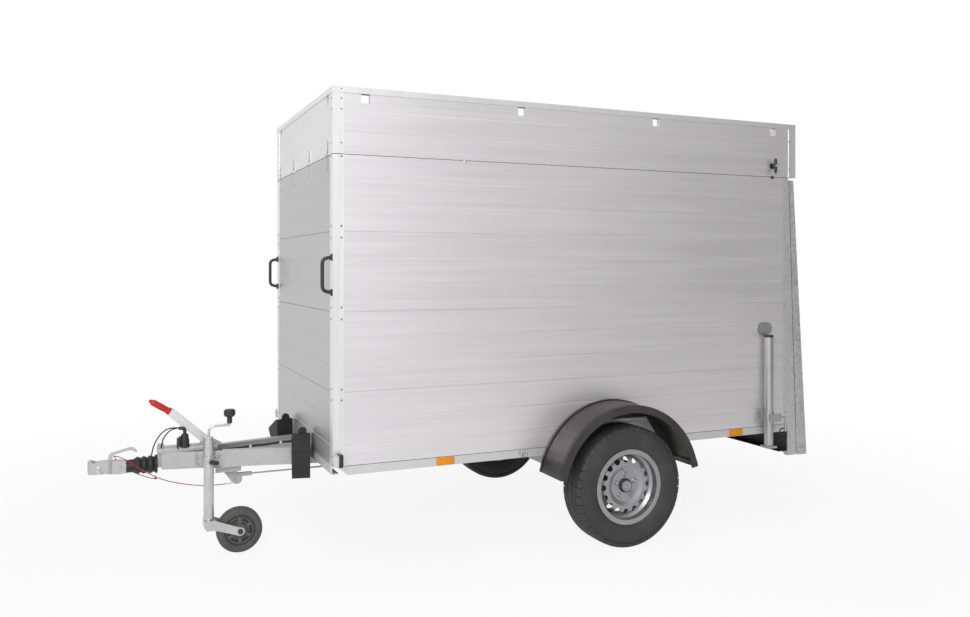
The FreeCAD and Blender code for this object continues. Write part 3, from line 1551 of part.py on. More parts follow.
# Trailer plug, its leads and the breakaway cable
def trailer_plug():
    """The plug in its parking seat on the housing, with a bent neck where the leads enter."""
    low = "(cover_top + seat_gap)"
    seat = rod("plug_seat", "plug_radius * 1.15", "plug_seat_tall", ("plug_x", "plug_side", low))
    body = turned("plug_body", "z", ("plug_x", "plug_side"), [
        (low, "0"), (low, "plug_radius"), (low + " + plug_tall * 0.55", "plug_radius"),
        (low + " + plug_tall * 0.62", "plug_radius * 0.86"),
        (low + " + plug_tall * 0.9", "plug_radius * 0.82"),
        (low + " + plug_tall", "plug_radius * 0.5"), (low + " + plug_tall", "0"),
    ])
    latch = block("plug_latch", ("plug_radius * 0.5", "plug_radius * 0.7", "plug_tall * 0.7"),
                  ("plug_x + plug_radius * 0.8", "plug_side - plug_radius * 0.35",
                   low + " + plug_tall * 0.1"))
    x, y, z = size.plug_x, size.plug_side, value_of(low) + size.plug_tall - size.sheet_wall
    rise = size.plug_neck_tall
    neck = plain("plug_neck", tube_along(
        [Vector(x, y, z), Vector(x, y, z + rise), Vector(x + rise, y, z + rise * 1.1)],
        size.plug_neck_radius)[0])
    return fuse("trailer_plug", [seat, body, latch, neck])


def spots(rows):
    """Points given as (ahead of the box, to the left, height) in millimetres."""
    return [Vector(size.front_x + ahead, side, height) for ahead, side, height in rows]


def cord(name, rows, radius):
    """A round tube along a cord's route. Prints how tight its arcs are and checks its volume."""
    tube, long, radii = tube_along(spots(rows), radius)
    print(name, "length", round(long, 1), "tightest arc", round(min(radii), 1),
          "volume share", round(tube.Volume / (math.pi * radius ** 2 * long), 4))
    return plain(name, tube)


OUTER_LEAD = (
    (597, 29.5, 604.5), (622, 32, 608), (652, 30, 602), (680, 25, 578), (699, 17, 545),
    (711, 9, 512), (716, 5, 480),
)
INNER_LEAD = (
    (597, 22.5, 603), (618, 21, 601), (640, 18, 589), (659, 14, 566), (669, 11, 541), (673, 9, 513.2),
)
BREAKAWAY = (
    (332, 6, 312), (362, 8, 309), (400, 9, 308.5), (445, 12, 310), (492, 17, 315), (540, 23, 324),
    (590, 29, 338), (638, 35, 353), (682, 44, 370), (718, 53, 388), (752, 56, 411), (784, 53, 437),
    (813, 46, 462), (840, 34, 481), (866, 16, 489), (882, -4, 489), (877, -26, 478), (866, -42, 458),
    (846, -50, 434), (820, -52, 410), (790, -48, 391), (760, -34, 380), (735, -12, 374),
    (718, 14, 371), (699, 44, 376.5),
)


node(trailer_plug())
node(group("plug_leads", [cord("outer_lead", OUTER_LEAD, size.lead_radius),
                          cord("inner_lead", INNER_LEAD, size.lead_radius)]))
node(cord("breakaway_cable", BREAKAWAY, size.cable_radius))


# Jack wheel: clamped tube with its crank, caster fork and wheel
def jack_tube():
    """The tube with its cap and the bent crank."""
    tube = rod("jack_pipe", "jack_radius", "jack_head - jack_foot", ("jack_x", "jack_side", "jack_foot"))
    cap = rod("jack_cap", "jack_radius * 0.85", "crank_radius * 2", ("jack_x", "jack_side", "jack_head"))
    x, y = size.jack_x, size.jack_side
    high = size.jack_head + size.crank_rise
    route = [Vector(x, y, size.jack_head), Vector(x, y, high)]
    route.append(Vector(x - size.crank_throw, y, high))
    route.append(Vector(x - size.crank_throw, y, high + size.crank_tip))
    crank = plain("crank", tube_along(route, size.crank_radius)[0])
    return fuse("jack_tube", [tube, cap, crank])


def jack_knob():
    """A turning knob on the crank's end, with a neck below its round head."""
    low = "(jack_head + crank_rise + crank_tip + seat_gap)"
    high = "(%s + knob_tall)" % low
    bevel = "knob_radius * 0.25"
    return turned("jack_knob", "z", ("jack_x - crank_throw", "jack_side"), [
        (low, "0"), (low, "knob_radius * 0.45"), ("%s + knob_tall * 0.42" % low, "knob_radius * 0.45"),
        ("%s + knob_tall * 0.5" % low, "knob_radius * 0.8"), ("%s + knob_tall * 0.6" % low, "knob_radius"),
        ("%s - %s" % (high, bevel), "knob_radius"), (high, "knob_radius - %s" % bevel), (high, "0"),
    ])


fork_half = "(jack_wheel_half + fork_gap)"
FORK_ARC_COUNT = 8


def jack_fork():
    """A folded fork: a curved crown below the tube and two arms that trail to the axle."""
    top = "(jack_foot - seat_gap)"
    arm = slab("fork_arm", "side", "jack_side + %s" % fork_half, "fork_plate", [
        ("jack_x - jack_trail + fork_round * 0.2", "jack_wheel_radius + fork_round"),
        ("jack_x - jack_radius", top), ("jack_x + jack_radius", top),
        ("jack_x + jack_radius", top + " - fork_tall * 0.7"),
        ("jack_x + jack_radius * 0.5", top + " - fork_tall"),
        ("jack_x - jack_radius", top + " - fork_tall"),
    ] + along_arc(("jack_x - jack_trail", "jack_wheel_radius"), "fork_round", size.fork_first_angle,
                size.fork_last_angle, FORK_ARC_COUNT))
    other = doc.addObject("Part::Mirroring", "fork_arm_right")
    other.Source = arm
    other.Normal = Vector(0, 1, 0)
    bind(other, "Base.y", "jack_side")
    crown = block("fork_crown", ("2 * jack_radius", "2 * %s + 2 * fork_plate" % fork_half, "fork_plate"),
                  ("jack_x - jack_radius", "jack_side - %s - fork_plate" % fork_half, top + " - fork_plate"))
    shield = block("fork_shield", ("fork_plate / 2", "2 * %s + fork_plate" % fork_half, "fork_tall * 0.7"),
                   ("jack_x + jack_radius - fork_plate / 2", "jack_side - %s - fork_plate / 2" % fork_half,
                    top + " - fork_tall * 0.7"))
    axle_pin = rod("fork_axle", "jack_axle_radius", "2 * %s + 4 * fork_plate" % fork_half,
                   ("jack_x - jack_trail", "jack_side - %s - 2 * fork_plate" % fork_half,
                    "jack_wheel_radius"), "+y")
    return fuse("jack_fork", [arm, other, crown, shield, axle_pin])


jack_tread_shares = (
    (1, 0.3), (0.62, 0.34), (0.55, 0.55), (0.62, 0.64), (0.9, 0.68), (1, 0.76), (0.96, 0.88), (0.8, 0.965),
    (0.5, 1),
)


def jack_wheel():
    """A solid tyre on a dished centre."""
    half = [("jack_wheel_half * %g" % out, "jack_wheel_radius * %g" % up) for out, up in jack_tread_shares]
    half = [("jack_wheel_half", "jack_axle_radius + pin_gap")] + half
    points = half + [("-%s" % spot, radius) for spot, radius in half[::-1]]
    return turned("jack_wheel", "y", ("jack_x - jack_trail", "jack_wheel_radius"),
                  [("jack_side + (%s)" % spot, radius) for spot, radius in points])


def jack_clamp():
    """A casting on the left beam with a collar round the jack's tube, and its locking lever."""
    low = "(beam_top - beam_tall / 2 - jack_clamp_tall / 2)"
    collar = rod("clamp_collar", "jack_radius + jack_clamp_wall", "jack_clamp_tall",
                 ("jack_x", "jack_side", low))
    front, back = "(jack_x + 2.25 * jack_radius)", "(jack_x - 2 * jack_radius)"
    foot = slab("clamp_foot", "plan", low, "jack_clamp_tall", [
        (front, beam_outer(front) + " + seat_gap"), (front, beam_outer(front) + " + jack_clamp_wall"),
        ("jack_x + jack_radius", "jack_side"), ("jack_x - jack_radius", "jack_side"),
        (back, beam_outer(back) + " + jack_clamp_wall"), (back, beam_outer(back) + " + seat_gap"),
    ])
    spindle = "(jack_side + jack_radius + jack_clamp_wall - seat_gap)"
    lever_low = low + " + (jack_clamp_tall - jack_lever_tall) / 2"
    lever = slab("clamp_lever", "side", spindle, "jack_lever_thick", [
        ("jack_x + jack_lever_long * 0.1", lever_low),
        ("jack_x + jack_lever_long * 0.1", lever_low + " + jack_lever_tall"),
        ("jack_x - jack_lever_long * 0.3", lever_low + " + jack_lever_tall"),
        ("jack_x - jack_lever_long * 0.9", lever_low + " + jack_lever_tall * 0.7"),
        ("jack_x - jack_lever_long", lever_low + " + jack_lever_tall * 0.45"),
        ("jack_x - jack_lever_long * 0.85", lever_low + " + jack_lever_tall * 0.2"),
    ])
    bore = rod("clamp_bore", "jack_radius + pin_gap", "jack_clamp_tall + 2 * overrun_cut",
               ("jack_x", "jack_side", low + " - overrun_cut"))
    room = beam_envelope("clamp_room", "seat_gap")
    return cut("jack_clamp", fuse("clamp_body", [collar, foot, lever]), [bore, room])


node(jack_tube())
node(jack_knob())
node(jack_fork())
node(jack_wheel())
node(jack_clamp())


# Rear prop stands and their clamps
def prop_stand():
    """A tube closed by a cap, with a square foot that has turned-up edges."""
    whole = rod("prop_pipe", "prop_radius", "prop_head - prop_foot - prop_pad_thick",
                ("prop_x", "prop_side", "prop_foot + prop_pad_thick"))
    hollow = rod("prop_hollow", "prop_radius - prop_wall", "prop_head - prop_foot - 3 * prop_pad_thick",
                 ("prop_x", "prop_side", "prop_foot + 2 * prop_pad_thick"))
    pad_block = block("prop_foot_pad", ("prop_pad", "prop_pad", "prop_pad_lip"),
                      ("prop_x - prop_pad / 2", "prop_side - prop_pad / 2", "prop_foot"))
    tray = block("prop_foot_tray", ("prop_pad - 2 * prop_wall", "prop_pad - 2 * prop_wall", "prop_pad_lip"),
                 ("prop_x - prop_pad / 2 + prop_wall", "prop_side - prop_pad / 2 + prop_wall",
                  "prop_foot + prop_pad_thick"))
    return fuse("prop_left", [cut("prop_tube", whole, [hollow]), cut("prop_tray", pad_block, [tray])])


def prop_clamp():
    """Collar, foot plate and locking lever with its bent rod and ring grip."""
    low = "(rave_high + clamp_rise)"
    collar = rod("prop_collar", "prop_radius + clamp_wall", "clamp_tall", ("prop_x", "prop_side", low))
    foot = block("prop_clamp_foot", ("clamp_foot_long", "prop_stand - prop_radius / 2", "clamp_foot_tall"),
                 ("prop_x", "half_width + seat_gap", low))
    bore = rod("prop_clamp_bore", "prop_radius + pin_gap", "clamp_foot_tall + 2 * overrun_cut",
               ("prop_x", "prop_side", low + " - overrun_cut"))
    outside = "(prop_side + prop_radius + clamp_wall - seat_gap)"
    lever = block("prop_clamp_lever", ("clamp_lever_long", "clamp_lever_thick", "clamp_lever_tall"),
                  ("prop_x + prop_radius - clamp_lever_long", outside,
                   low + " + (clamp_tall - clamp_lever_tall) / 2"))
    x = size.prop_x + size.prop_radius - size.clamp_lever_long
    y = value_of(outside) + size.clamp_lever_thick / 2
    z = value_of(low) + size.clamp_tall / 2
    drop = size.clamp_grip_long
    bent = plain("prop_clamp_rod", tube_along(
        [Vector(x + size.overrun_cut, y, z), Vector(x - drop * 0.7, y, z),
         Vector(x - drop * 0.7, y, z - drop)],
        size.clamp_rod_radius)[0])
    grip = rod("prop_clamp_grip", "clamp_grip_radius", "clamp_grip_long",
               ("prop_x + prop_radius - clamp_lever_long - clamp_grip_long * 0.7",
                outside + " + clamp_lever_thick / 2", low + " + clamp_tall / 2 - 1.8 * clamp_grip_long"))
    body = fuse("prop_clamp_body", [collar, foot, lever, bent, grip])
    return cut("prop_clamp_left", body, [bore])


def back_plate():
    """An oval plate on the boards above the stand's tube."""
    middle = "(prop_head + back_plate_rise)"
    end = "(back_plate_long / 2 - back_plate_tall / 2)"
    centres = ("(prop_x + %s)" % end, middle), ("(prop_x - %s)" % end, middle)
    outline = along_arc(centres[0], "back_plate_tall / 2", -90, 90, 8)
    outline += along_arc(centres[1], "back_plate_tall / 2", 90, 270, 8)
    return slab("back_plate_left", "side", "half_width + seat_gap", "sheet_wall", outline)


left_prop = node(prop_stand())
node(mirrored("prop_right", left_prop))
node(group("prop_clamps", [pair("clamp_pair", prop_clamp()), pair("back_plates", back_plate())]))


# Marker lamps
def side_marker(name, spot):
    """A flat reflector on the side rave."""
    return block(name, ("marker_long", "marker_thick", "marker_tall"),
                 (spot + " - marker_long / 2", "half_width + seat_gap",
                  "(rave_low + rave_high - marker_tall) / 2"))


last_marker_share = 0.4459
front_lamp_shares = ((0, 0), (0, 1), (0.6, 1), (0.88, 0.86), (1, 0.6), (1, 0.4), (0.88, 0.14), (0.6, 0))


def front_lamp():
    """A rounded position lamp beside the front corner."""
    back = "(front_x - front_lamp_long * 0.75)"
    return slab("front_lamp_left", "side", "half_width + cover_wall + seat_gap", "front_lamp_wide",
                shaped((back, "rave_high + front_lamp_rise"), ("front_lamp_long", "front_lamp_tall"),
                       front_lamp_shares))


node(group("side_markers", [
    pair("first_markers", side_marker("marker_first_left", "front_x - marker_first")),
    pair("last_markers", side_marker(
        "marker_last_left", "rear_x + (guard_x - guard_radius - rear_x) * %g" % last_marker_share)),
    pair("front_lamps", front_lamp()),
]))

doc.recompute()

faults = [item.Name for item in doc.Objects if {"Invalid", "Error"} & set(item.State)]
if faults:
    raise RuntimeError("These objects failed: " + ", ".join(faults))
for item in nodes:
    if item.Shape.isNull() or not item.Shape.isValid():
        raise RuntimeError("This sub-part has no valid shape: " + item.Label)

os.makedirs("parts", exist_ok=True)
for item in nodes:
    item.Shape.exportStep("parts/%s.step" % item.Label)
    print(item.Label, len(item.Shape.Solids), "solids", round(item.Shape.Volume / 1e6, 3), "litres")
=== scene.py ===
# %% [markdown]
# A utility trailer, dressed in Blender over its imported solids.
# The solids give every size and place. This file gives them their finishes, and adds the
# small things that solids leave out: screws, rivets, bolt heads, tyre tread and moulded ribs.

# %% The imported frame
import math

import bmesh
import bpy
from mathutils import Matrix, Vector
from mathutils.bvhtree import BVHTree


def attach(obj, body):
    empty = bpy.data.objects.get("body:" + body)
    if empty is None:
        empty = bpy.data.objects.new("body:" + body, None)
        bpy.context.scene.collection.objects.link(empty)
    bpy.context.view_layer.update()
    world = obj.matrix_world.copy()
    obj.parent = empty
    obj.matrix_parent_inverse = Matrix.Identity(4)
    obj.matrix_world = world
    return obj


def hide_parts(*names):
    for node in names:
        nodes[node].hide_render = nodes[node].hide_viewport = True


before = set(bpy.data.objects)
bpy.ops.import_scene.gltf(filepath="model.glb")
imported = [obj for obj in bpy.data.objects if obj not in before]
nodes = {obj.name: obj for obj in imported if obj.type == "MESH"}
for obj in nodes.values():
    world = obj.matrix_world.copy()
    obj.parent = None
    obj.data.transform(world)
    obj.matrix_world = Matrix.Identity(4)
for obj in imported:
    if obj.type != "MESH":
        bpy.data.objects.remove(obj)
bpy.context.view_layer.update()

# %% [markdown]
# The camera comes first, because every later choice is judged through it. The picture was
# taken from the trailer's front left, a little above its waist, with a level camera: so the
# camera looks along a level line, and its shift, not its tilt, sets the height of the horizon.

# %% Camera
FRONT_X = 0.8705
CAMERA_PLACE = Vector((FRONT_X + 0.93, 4.40, 1.38))
CAMERA_LOOK = Vector((-0.4056, -0.914, 0))
FILM_WIDTH = 36
LENS = 32.0
PICTURE_WIDE = 970
PICTURE_TALL = 617
HORIZON_ROW = 266

camera_data = bpy.data.cameras.new("camera")
camera_data.sensor_width = FILM_WIDTH
camera_data.lens = LENS
camera_data.shift_y = (HORIZON_ROW - PICTURE_TALL / 2) / PICTURE_WIDE
camera = bpy.data.objects.new("camera", camera_data)
camera.location = CAMERA_PLACE
camera.rotation_euler = CAMERA_LOOK.to_track_quat("-Z", "Y").to_euler()
bpy.context.collection.objects.link(camera)
bpy.context.scene.camera = camera
print("camera at", tuple(round(c, 3) for c in camera.location))

# %% [markdown]
# A shader is a small network of nodes. Written out link by link it is hard to read, so two
# small classes carry it: one wraps a socket's value and lets Python's own signs add the
# Math nodes, the other makes any node from its type, its settings and its sockets.

# %% Shader values and finishes
NO_STRETCH = (1, 1, 1)


class Value:
    """What one socket gives, ready for sums such as 1 - value."""

    def __init__(self, finish, socket):
        self.finish = finish
        self.socket = socket

    def __add__(self, other):
        return self.finish.sum("ADD", self, other)

    def __rsub__(self, other):
        return self.finish.sum("SUBTRACT", other, self)

    def __mul__(self, other):
        return self.finish.sum("MULTIPLY", self, other)

    def __truediv__(self, other):
        return self.finish.sum("DIVIDE", self, other)


class Finish:
    """One material, with its node tree and the shader that ends it."""

    def __init__(self, name, **constants):
        self.material = bpy.data.materials.new(name)
        self.material.use_nodes = True
        self.tree = self.material.node_tree
        self.shader = self.tree.nodes["Principled BSDF"]
        self.wear(**constants)

    def node(self, kind, settings=None, sockets=None, out=0):
        """Makes a node of a type: its settings first, then its sockets' values or links."""
        made = self.tree.nodes.new(kind)
        for setting, value in (settings or {}).items():
            setattr(made, setting, value)
        for socket, value in (sockets or {}).items():
            self.put(made.inputs[socket], value)
        return Value(self, made.outputs[out])

    def add(self, kind, settings=None, sockets=None, out=0):
        """Makes a shader node."""
        return self.node("ShaderNode" + kind, settings, sockets, out)

    def put(self, socket, value):
        if isinstance(value, Value):
            self.tree.links.new(value.socket, socket)
        else:
            socket.default_value = value

    def sum(self, operation, first, second):
        return self.add("Math", {"operation": operation}, {0: first, 1: second})

    def place(self, stretch=NO_STRETCH):
        """The place on the object, in metres, stretched along its axes."""
        where = self.add("TexCoord", out="Object")
        if stretch == NO_STRETCH:
            return where
        return self.add("Mapping", {}, {"Vector": where, "Scale": stretch})

    def noise(self, scale, detail=3, stretch=NO_STRETCH):
        return self.add("TexNoise", {}, {
            "Vector": self.place(stretch), "Scale": scale, "Detail": detail})

    def cells(self, scale, settings=None, out=0, **sockets):
        """Voronoi cells, so many to a metre."""
        return self.add("TexVoronoi", settings, {
            "Vector": self.place(), "Scale": scale, **sockets}, out)

    def ray(self, kind):
        """1 for rays of one kind, 0 for all others."""
        return self.add("LightPath", out="Is %s Ray" % kind)

    def ahead(self, place):
        """The part of a place or way that points forward."""
        return self.add("SeparateXYZ", {}, {"Vector": place}, out="X")

    def between(self, value, low, high):
        """The value remapped so that low gives 0 and high gives 1, held at both ends."""
        return self.add("MapRange", {"clamp": True}, {
            "Value": value, "From Min": low, "From Max": high})

    def mix(self, factor, first, second):
        return self.add("Mix", {"data_type": "RGBA"}, {0: factor, 6: first, 7: second}, out=2)

    def bump(self, height, distance, strength):
        return self.add("Bump", {}, {"Height": height, "Distance": distance, "Strength": strength})

    def wear(self, **values):
        """Gives the shader's sockets their constants, or links what changes over the surface."""
        for socket, value in values.items():
            self.put(self.shader.inputs[socket.replace("_", " ")], value)
        return self.material


def grey(level, warmth=0.0):
    """A colour of one lightness, a little warmer or cooler than neutral."""
    return (level * (1 + warmth), level, level * (1 - warmth), 1)


def rosy(level, rose, share):
    """A share of one lightness with a touch of rose, as anodised metal has."""
    return (*[part * level * share for part in (1 + rose, 1 - rose, 1 + rose * 0.6)], 1)


def scaled(colour, share):
    """A colour with its three parts multiplied, none of them past 1."""
    return (*[min(1, part * share) for part in colour[:3]], 1)


print("shader helpers ready")

# %% [markdown]
# The boards are drawn aluminium profiles, anodised to a soft satin. Drawing leaves fine
# streaks along the board, so one noise is stretched along it. The wall along the side
# streaks along X, the one across the front along Y and the edge strips upwards. The same
# aluminium also comes in a darker copy, painted shade for the front boards and the ramp,
# and in a lighter copy, painted light for the upper front wall, hence four finishes from one
# recipe.

# %% Anodised boards
STREAKS_ALONG = (0.02, 1, 1)
STREAKS_ACROSS = (1, 0.02, 1)
STREAKS_UP = (1, 1, 0.03)


def anodised(name, stretch, level, rose=0.0):
    finish = Finish(name, Metallic=0.66)
    streaks = finish.noise(60, 4, stretch)
    cloud = finish.noise(1.3, 2)
    tone = finish.between(streaks * 0.7 + cloud * 0.5, 0.35, 0.85)
    return finish.wear(
        Base_Color=finish.mix(tone, rosy(level, rose, 0.93), rosy(level, rose, 1.05)),
        Roughness=finish.between(streaks, 0.2, 0.9) * 0.12 + 0.34,
        Normal=finish.bump(streaks, 0.00012, 0.5))


boards_along = anodised("boards_along", STREAKS_ALONG, 0.765, 0.010)
# Painted shade: the front boards and the ramp are the same aluminium, made darker to stand for the
# shade on walls that face away from the light.
boards_across_shaded = anodised("boards_across_shaded", STREAKS_ACROSS, 0.505, 0.008)
# Painted light: the upper front wall is the same aluminium, made lighter to stand for the light
# that falls on it.
boards_upper_lit = anodised("boards_upper_lit", STREAKS_ACROSS, 0.76, 0.003)
edge_strips = anodised("edge_strips", STREAKS_UP, 0.80)
print("board finishes", boards_along.name, boards_across_shaded.name, edge_strips.name)

# %% [markdown]
# Hot-dip galvanising leaves zinc crystals, each with its own grey. Voronoi cells are such
# crystals: every cell has one random colour, and a low noise dulls some areas as weather does.

# %% Galvanised steel
def galvanised(name, level, cell, contrast, roughness=0.42, relief=0.4):
    finish = Finish(name, Metallic=0.6)
    crystals = finish.cells(cell, out="Color")
    crystal = finish.add("SeparateColor", {}, {"Color": crystals})
    dull = finish.noise(6, 4)
    tone = finish.between(crystal * 0.7 + dull * 0.5, 0.15, 0.95)
    dark, light = grey(level * (1 - contrast), -0.01), grey(level * (1 + contrast * 0.6), 0.005)
    return finish.wear(
        Base_Color=finish.mix(tone, dark, light), Roughness=crystal * 0.15 + roughness,
        Normal=finish.bump(crystal * 0.5 + dull, 0.0002, relief))


beam_zinc = galvanised("beam_zinc", 0.46, cell=140, contrast=0.09, relief=0.2)
rave_zinc = galvanised("rave_zinc", 0.67, cell=260, contrast=0.05)
ramp_zinc = galvanised("ramp_zinc", 0.58, cell=90, contrast=0.22)
post_zinc = galvanised("post_zinc", 0.62, cell=110, contrast=0.14)
axle_zinc = galvanised("axle_zinc", 0.45, cell=80, contrast=0.2)
print("galvanised finishes made")

# %% [markdown]
# Bright zinc on the jack tube, the prop stands and the small hinges is smoother: a polished
# metal with fine drawing lines round the tube and a faint yellow bloom. The castings get
# the galvanised recipe with crystals too fine to see.

# %% Bright zinc
def bright_zinc(name, level):
    finish = Finish(name, Metallic=0.75)
    lines = finish.noise(300, 2, (1, 1, 0.06))
    bloom = finish.noise(9, 3)
    tone = finish.between(bloom, 0.3, 0.7)
    return finish.wear(
        Base_Color=finish.mix(tone, grey(level, -0.01), grey(level * 0.88, 0.02)),
        Roughness=finish.between(lines, 0.3, 0.8) * 0.14 + 0.24,
        Normal=finish.bump(lines, 0.00008, 0.5))


tube_zinc = bright_zinc("tube_zinc", 0.6)
prop_zinc = bright_zinc("prop_zinc", 0.48)
hinge_zinc = bright_zinc("hinge_zinc", 0.36)
cast_zinc = galvanised("cast_zinc", 0.50, cell=520, contrast=0.05, roughness=0.40, relief=0.08)
print("bright zinc finishes made")

# %% [markdown]
# Moulded plastic and rubber look alike from afar. Up close plastic has a fine leather grain
# and a soft sheen, rubber a dustier grey and less gloss.

# %% Plastics and rubbers
def moulded(name, level, grain, depth, roughness=0.5, warmth=0.0, dust=0.35):
    finish = Finish(name, Specular_IOR_Level=0.45)
    pebbles = finish.cells(grain, {"feature": "SMOOTH_F1"})
    haze = finish.noise(7, 4)
    dusty = finish.between(haze, 0.42, 0.75)
    dusted = grey(level * 1.9 + 0.01, warmth + 0.02)
    return finish.wear(
        Base_Color=finish.mix(dusty * dust, grey(level, warmth), dusted),
        Roughness=dusty * 0.15 + roughness,
        Normal=finish.bump(pebbles + haze * 0.3, depth, 0.6))


guard_plastic = moulded("guard_plastic", 0.031, 300, 0.0003, roughness=0.30, warmth=0.06)
black_plastic = moulded("black_plastic", 0.022, 500, 0.0002, roughness=0.42)
chock_plastic = moulded("chock_plastic", 0.009, 500, 0.0003, dust=0.15)
tyre_rubber = moulded("tyre_rubber", 0.040, 380, 0.0003, roughness=0.62, dust=0.6)
boot_rubber = moulded("boot_rubber", 0.016, 420, 0.0002)
wheel_rubber = moulded("wheel_rubber", 0.075, 420, 0.0003, roughness=0.6, warmth=0.01, dust=0.6)
spoke_plastic = moulded("spoke_plastic", 0.11, 420, 0.0002, dust=0.3)
white_plastic = moulded("white_plastic", 0.75, 500, 0.0001, roughness=0.4, dust=0.1)
blank_plate = moulded("blank_plate", 0.7, 500, 0.0001, roughness=0.4, warmth=0.01, dust=0.1)
print("plastic finishes made")

# %% [markdown]
# Lacquered steel: the wheel's silver has fine metal flakes, the drum's black is plain. Both
# take on some soil. A lens is a clear colour over small prisms, and the floor is brown
# plywood whose film is pressed with a fine mesh against slipping.

# %% Lacquers, lenses and board
SQUARE_CELLS = {"distance": "CHEBYCHEV"}


def lacquer(name, colour, metallic=0.0, roughness=0.35, flakes=0.0):
    finish = Finish(name, Metallic=metallic)
    grain = finish.noise(900, 2)
    soil = finish.noise(11, 4)
    shade = finish.mix(finish.between(soil, 0.5, 0.8) * 0.25, colour, grey(0.18, 0.05))
    if flakes:
        shade = finish.mix(finish.between(grain, 0.45, 0.7) * flakes, shade, scaled(colour, 1.4))
    return finish.wear(
        Base_Color=shade, Roughness=finish.between(soil, 0.4, 0.8) * 0.15 + roughness,
        Normal=finish.bump(grain, 0.00004, 0.5))


def reflector(name, colour):
    finish = Finish(name, Coat_Weight=0.15, Specular_IOR_Level=0.3)
    prisms = finish.cells(260, SQUARE_CELLS, Randomness=0.0)
    tone = finish.between(prisms, 0.1, 0.6) * 0.55
    return finish.wear(
        Base_Color=finish.mix(tone, colour, scaled(colour, 0.55)), Roughness=prisms * 0.1 + 0.18,
        Normal=finish.bump(prisms, 0.0008, 0.5))


def film_board(name, dark, light):
    finish = Finish(name)
    mesh = finish.cells(160, SQUARE_CELLS, Randomness=0.0)
    grain = finish.noise(14, 5, (0.15, 1, 1))
    return finish.wear(
        Base_Color=finish.mix(finish.between(grain, 0.3, 0.7), dark, light),
        Roughness=finish.between(grain, 0.3, 0.8) * 0.2 + 0.35,
        Normal=finish.bump(mesh, 0.0008, 0.5))


silver_paint = lacquer("silver_paint", (0.35, 0.35, 0.36, 1), 0.7, 0.30, flakes=0.4)
black_paint = lacquer("black_paint", (0.03, 0.03, 0.03, 1), roughness=0.45)
red_grip = lacquer("red_grip", (0.55, 0.012, 0.012, 1))
cable_red = lacquer("cable_red", (0.42, 0.012, 0.01, 1), roughness=0.5)
red_lens = reflector("red_lens", (0.5, 0.01, 0.01, 1))
amber_lens = reflector("amber_lens", (1.0, 0.34, 0.002, 1))
clear_lens = reflector("clear_lens", (0.72, 0.73, 0.74, 1))
floor_film = film_board("film_board", (0.035, 0.02, 0.014, 1), (0.075, 0.045, 0.03, 1))
print("lacquers, lenses and floor film made")

# %% [markdown]
# One table gives every solid its finish, so that a look is changed in one place. Whatever
# the table forgets is printed.

# %% Finishes of the solids
FINISHES = {
    boards_along: ("side_boards_left", "side_boards_right", "upper_side_left", "upper_side_right"),
    boards_across_shaded: ("front_boards", "ramp_deck"),
    boards_upper_lit: ("upper_front",),
    edge_strips: ("front_covers", "rim_sides", "upper_rear_posts", "upper_front_covers"),
    beam_zinc: ("drawbar_left", "drawbar_right", "cross_members", "brake_linkage",
                "overrun_housing"),
    rave_zinc: ("side_raves", "front_rave", "ramp_hinges", "handbrake_lever"),
    ramp_zinc: ("ramp_rail_left", "ramp_rail_right"),
    post_zinc: ("rear_posts",),
    axle_zinc: ("axle_tube", "swing_arms", "chock_holders"),
    tube_zinc: ("jack_tube", "jack_fork"),
    prop_zinc: ("prop_left", "prop_right", "prop_clamps", "lashing_eyes"),
    hinge_zinc: ("hinge_lower_leaves", "hinge_upper_leaves"),
    cast_zinc: ("jack_clamp", "coupling_head", "coupling_handle"),
    floor_film: ("floor_panel",),
    guard_plastic: ("mudguards", "mudguard_stays"),
    black_plastic: ("rear_light_board", "upper_locks", "grab_handles", "jack_knob",
                    "trailer_plug"),
    chock_plastic: ("wheel_chocks",),
    tyre_rubber: ("tyre_left", "tyre_right"),
    boot_rubber: ("bellows", "plug_leads"),
    wheel_rubber: ("jack_wheel",),
    silver_paint: ("rim_left_wheel", "rim_right_wheel"),
    black_paint: ("brake_drum_left", "brake_drum_right"),
    red_grip: ("handbrake_grip",),
    cable_red: ("breakaway_cable",),
    red_lens: ("tail_lamps",),
    amber_lens: ("side_markers",),
    blank_plate: ("number_plate",),
}
for finish, names in FINISHES.items():
    for name in names:
        mesh = nodes[name].data
        mesh.materials.clear()
        mesh.materials.append(finish)
bare = sorted(set(nodes) - {name for names in FINISHES.values() for name in names})
print("solids without a finish", bare)

# %% [markdown]
# A studio: a pale floor, an even world and three large soft lamps. A mirror-like wall shows
# what stands opposite it, so both the world and the mirrored floor grow darker towards the
# trailer's rear, which gives the boards their fall from light to grey. Camera and
# transmission rays meet a plain white world, and the floor far off is as white, so no
# horizon shows. Near the trailer the floor keeps a part of its own shade, and with it the
# shadow.

# %% Floor, world and lamps
FLOOR_REACH = 60
SHADOW_REACH = 2.2
CLEAR_REACH = 4.5
SHADOW_SHARE = 0.1
MIRROR_FALL = (-5.0, 0.6)
WORLD_LEVEL = 0.5
WORLD_FALL = (-0.66, -0.18)
REAR_SHADE = 0.14
LAMPS = (  # name, place, aim, size and power
    ("key", (2.6, 4.7, 2.9), (0.9, 0, 1.2), (2.5, 2.0), 140),
    ("fill", (-4.5, 5.5, 3.5), (-0.5, 0, 1.0), (4.0, 3.0), 6),
    ("top", (0, 0.5, 6.0), (0, 0, 0), (5.0, 4.0), 60),
)


def seen_directly(finish):
    """1 for the rays that should meet a white floor, less for mirrored ones to the rear."""
    mirrored = finish.ray("Glossy") * finish.between(finish.ahead(finish.place()), *MIRROR_FALL)
    return finish.between(finish.ray("Camera") + mirrored + finish.ray("Transmission"), 0, 1)


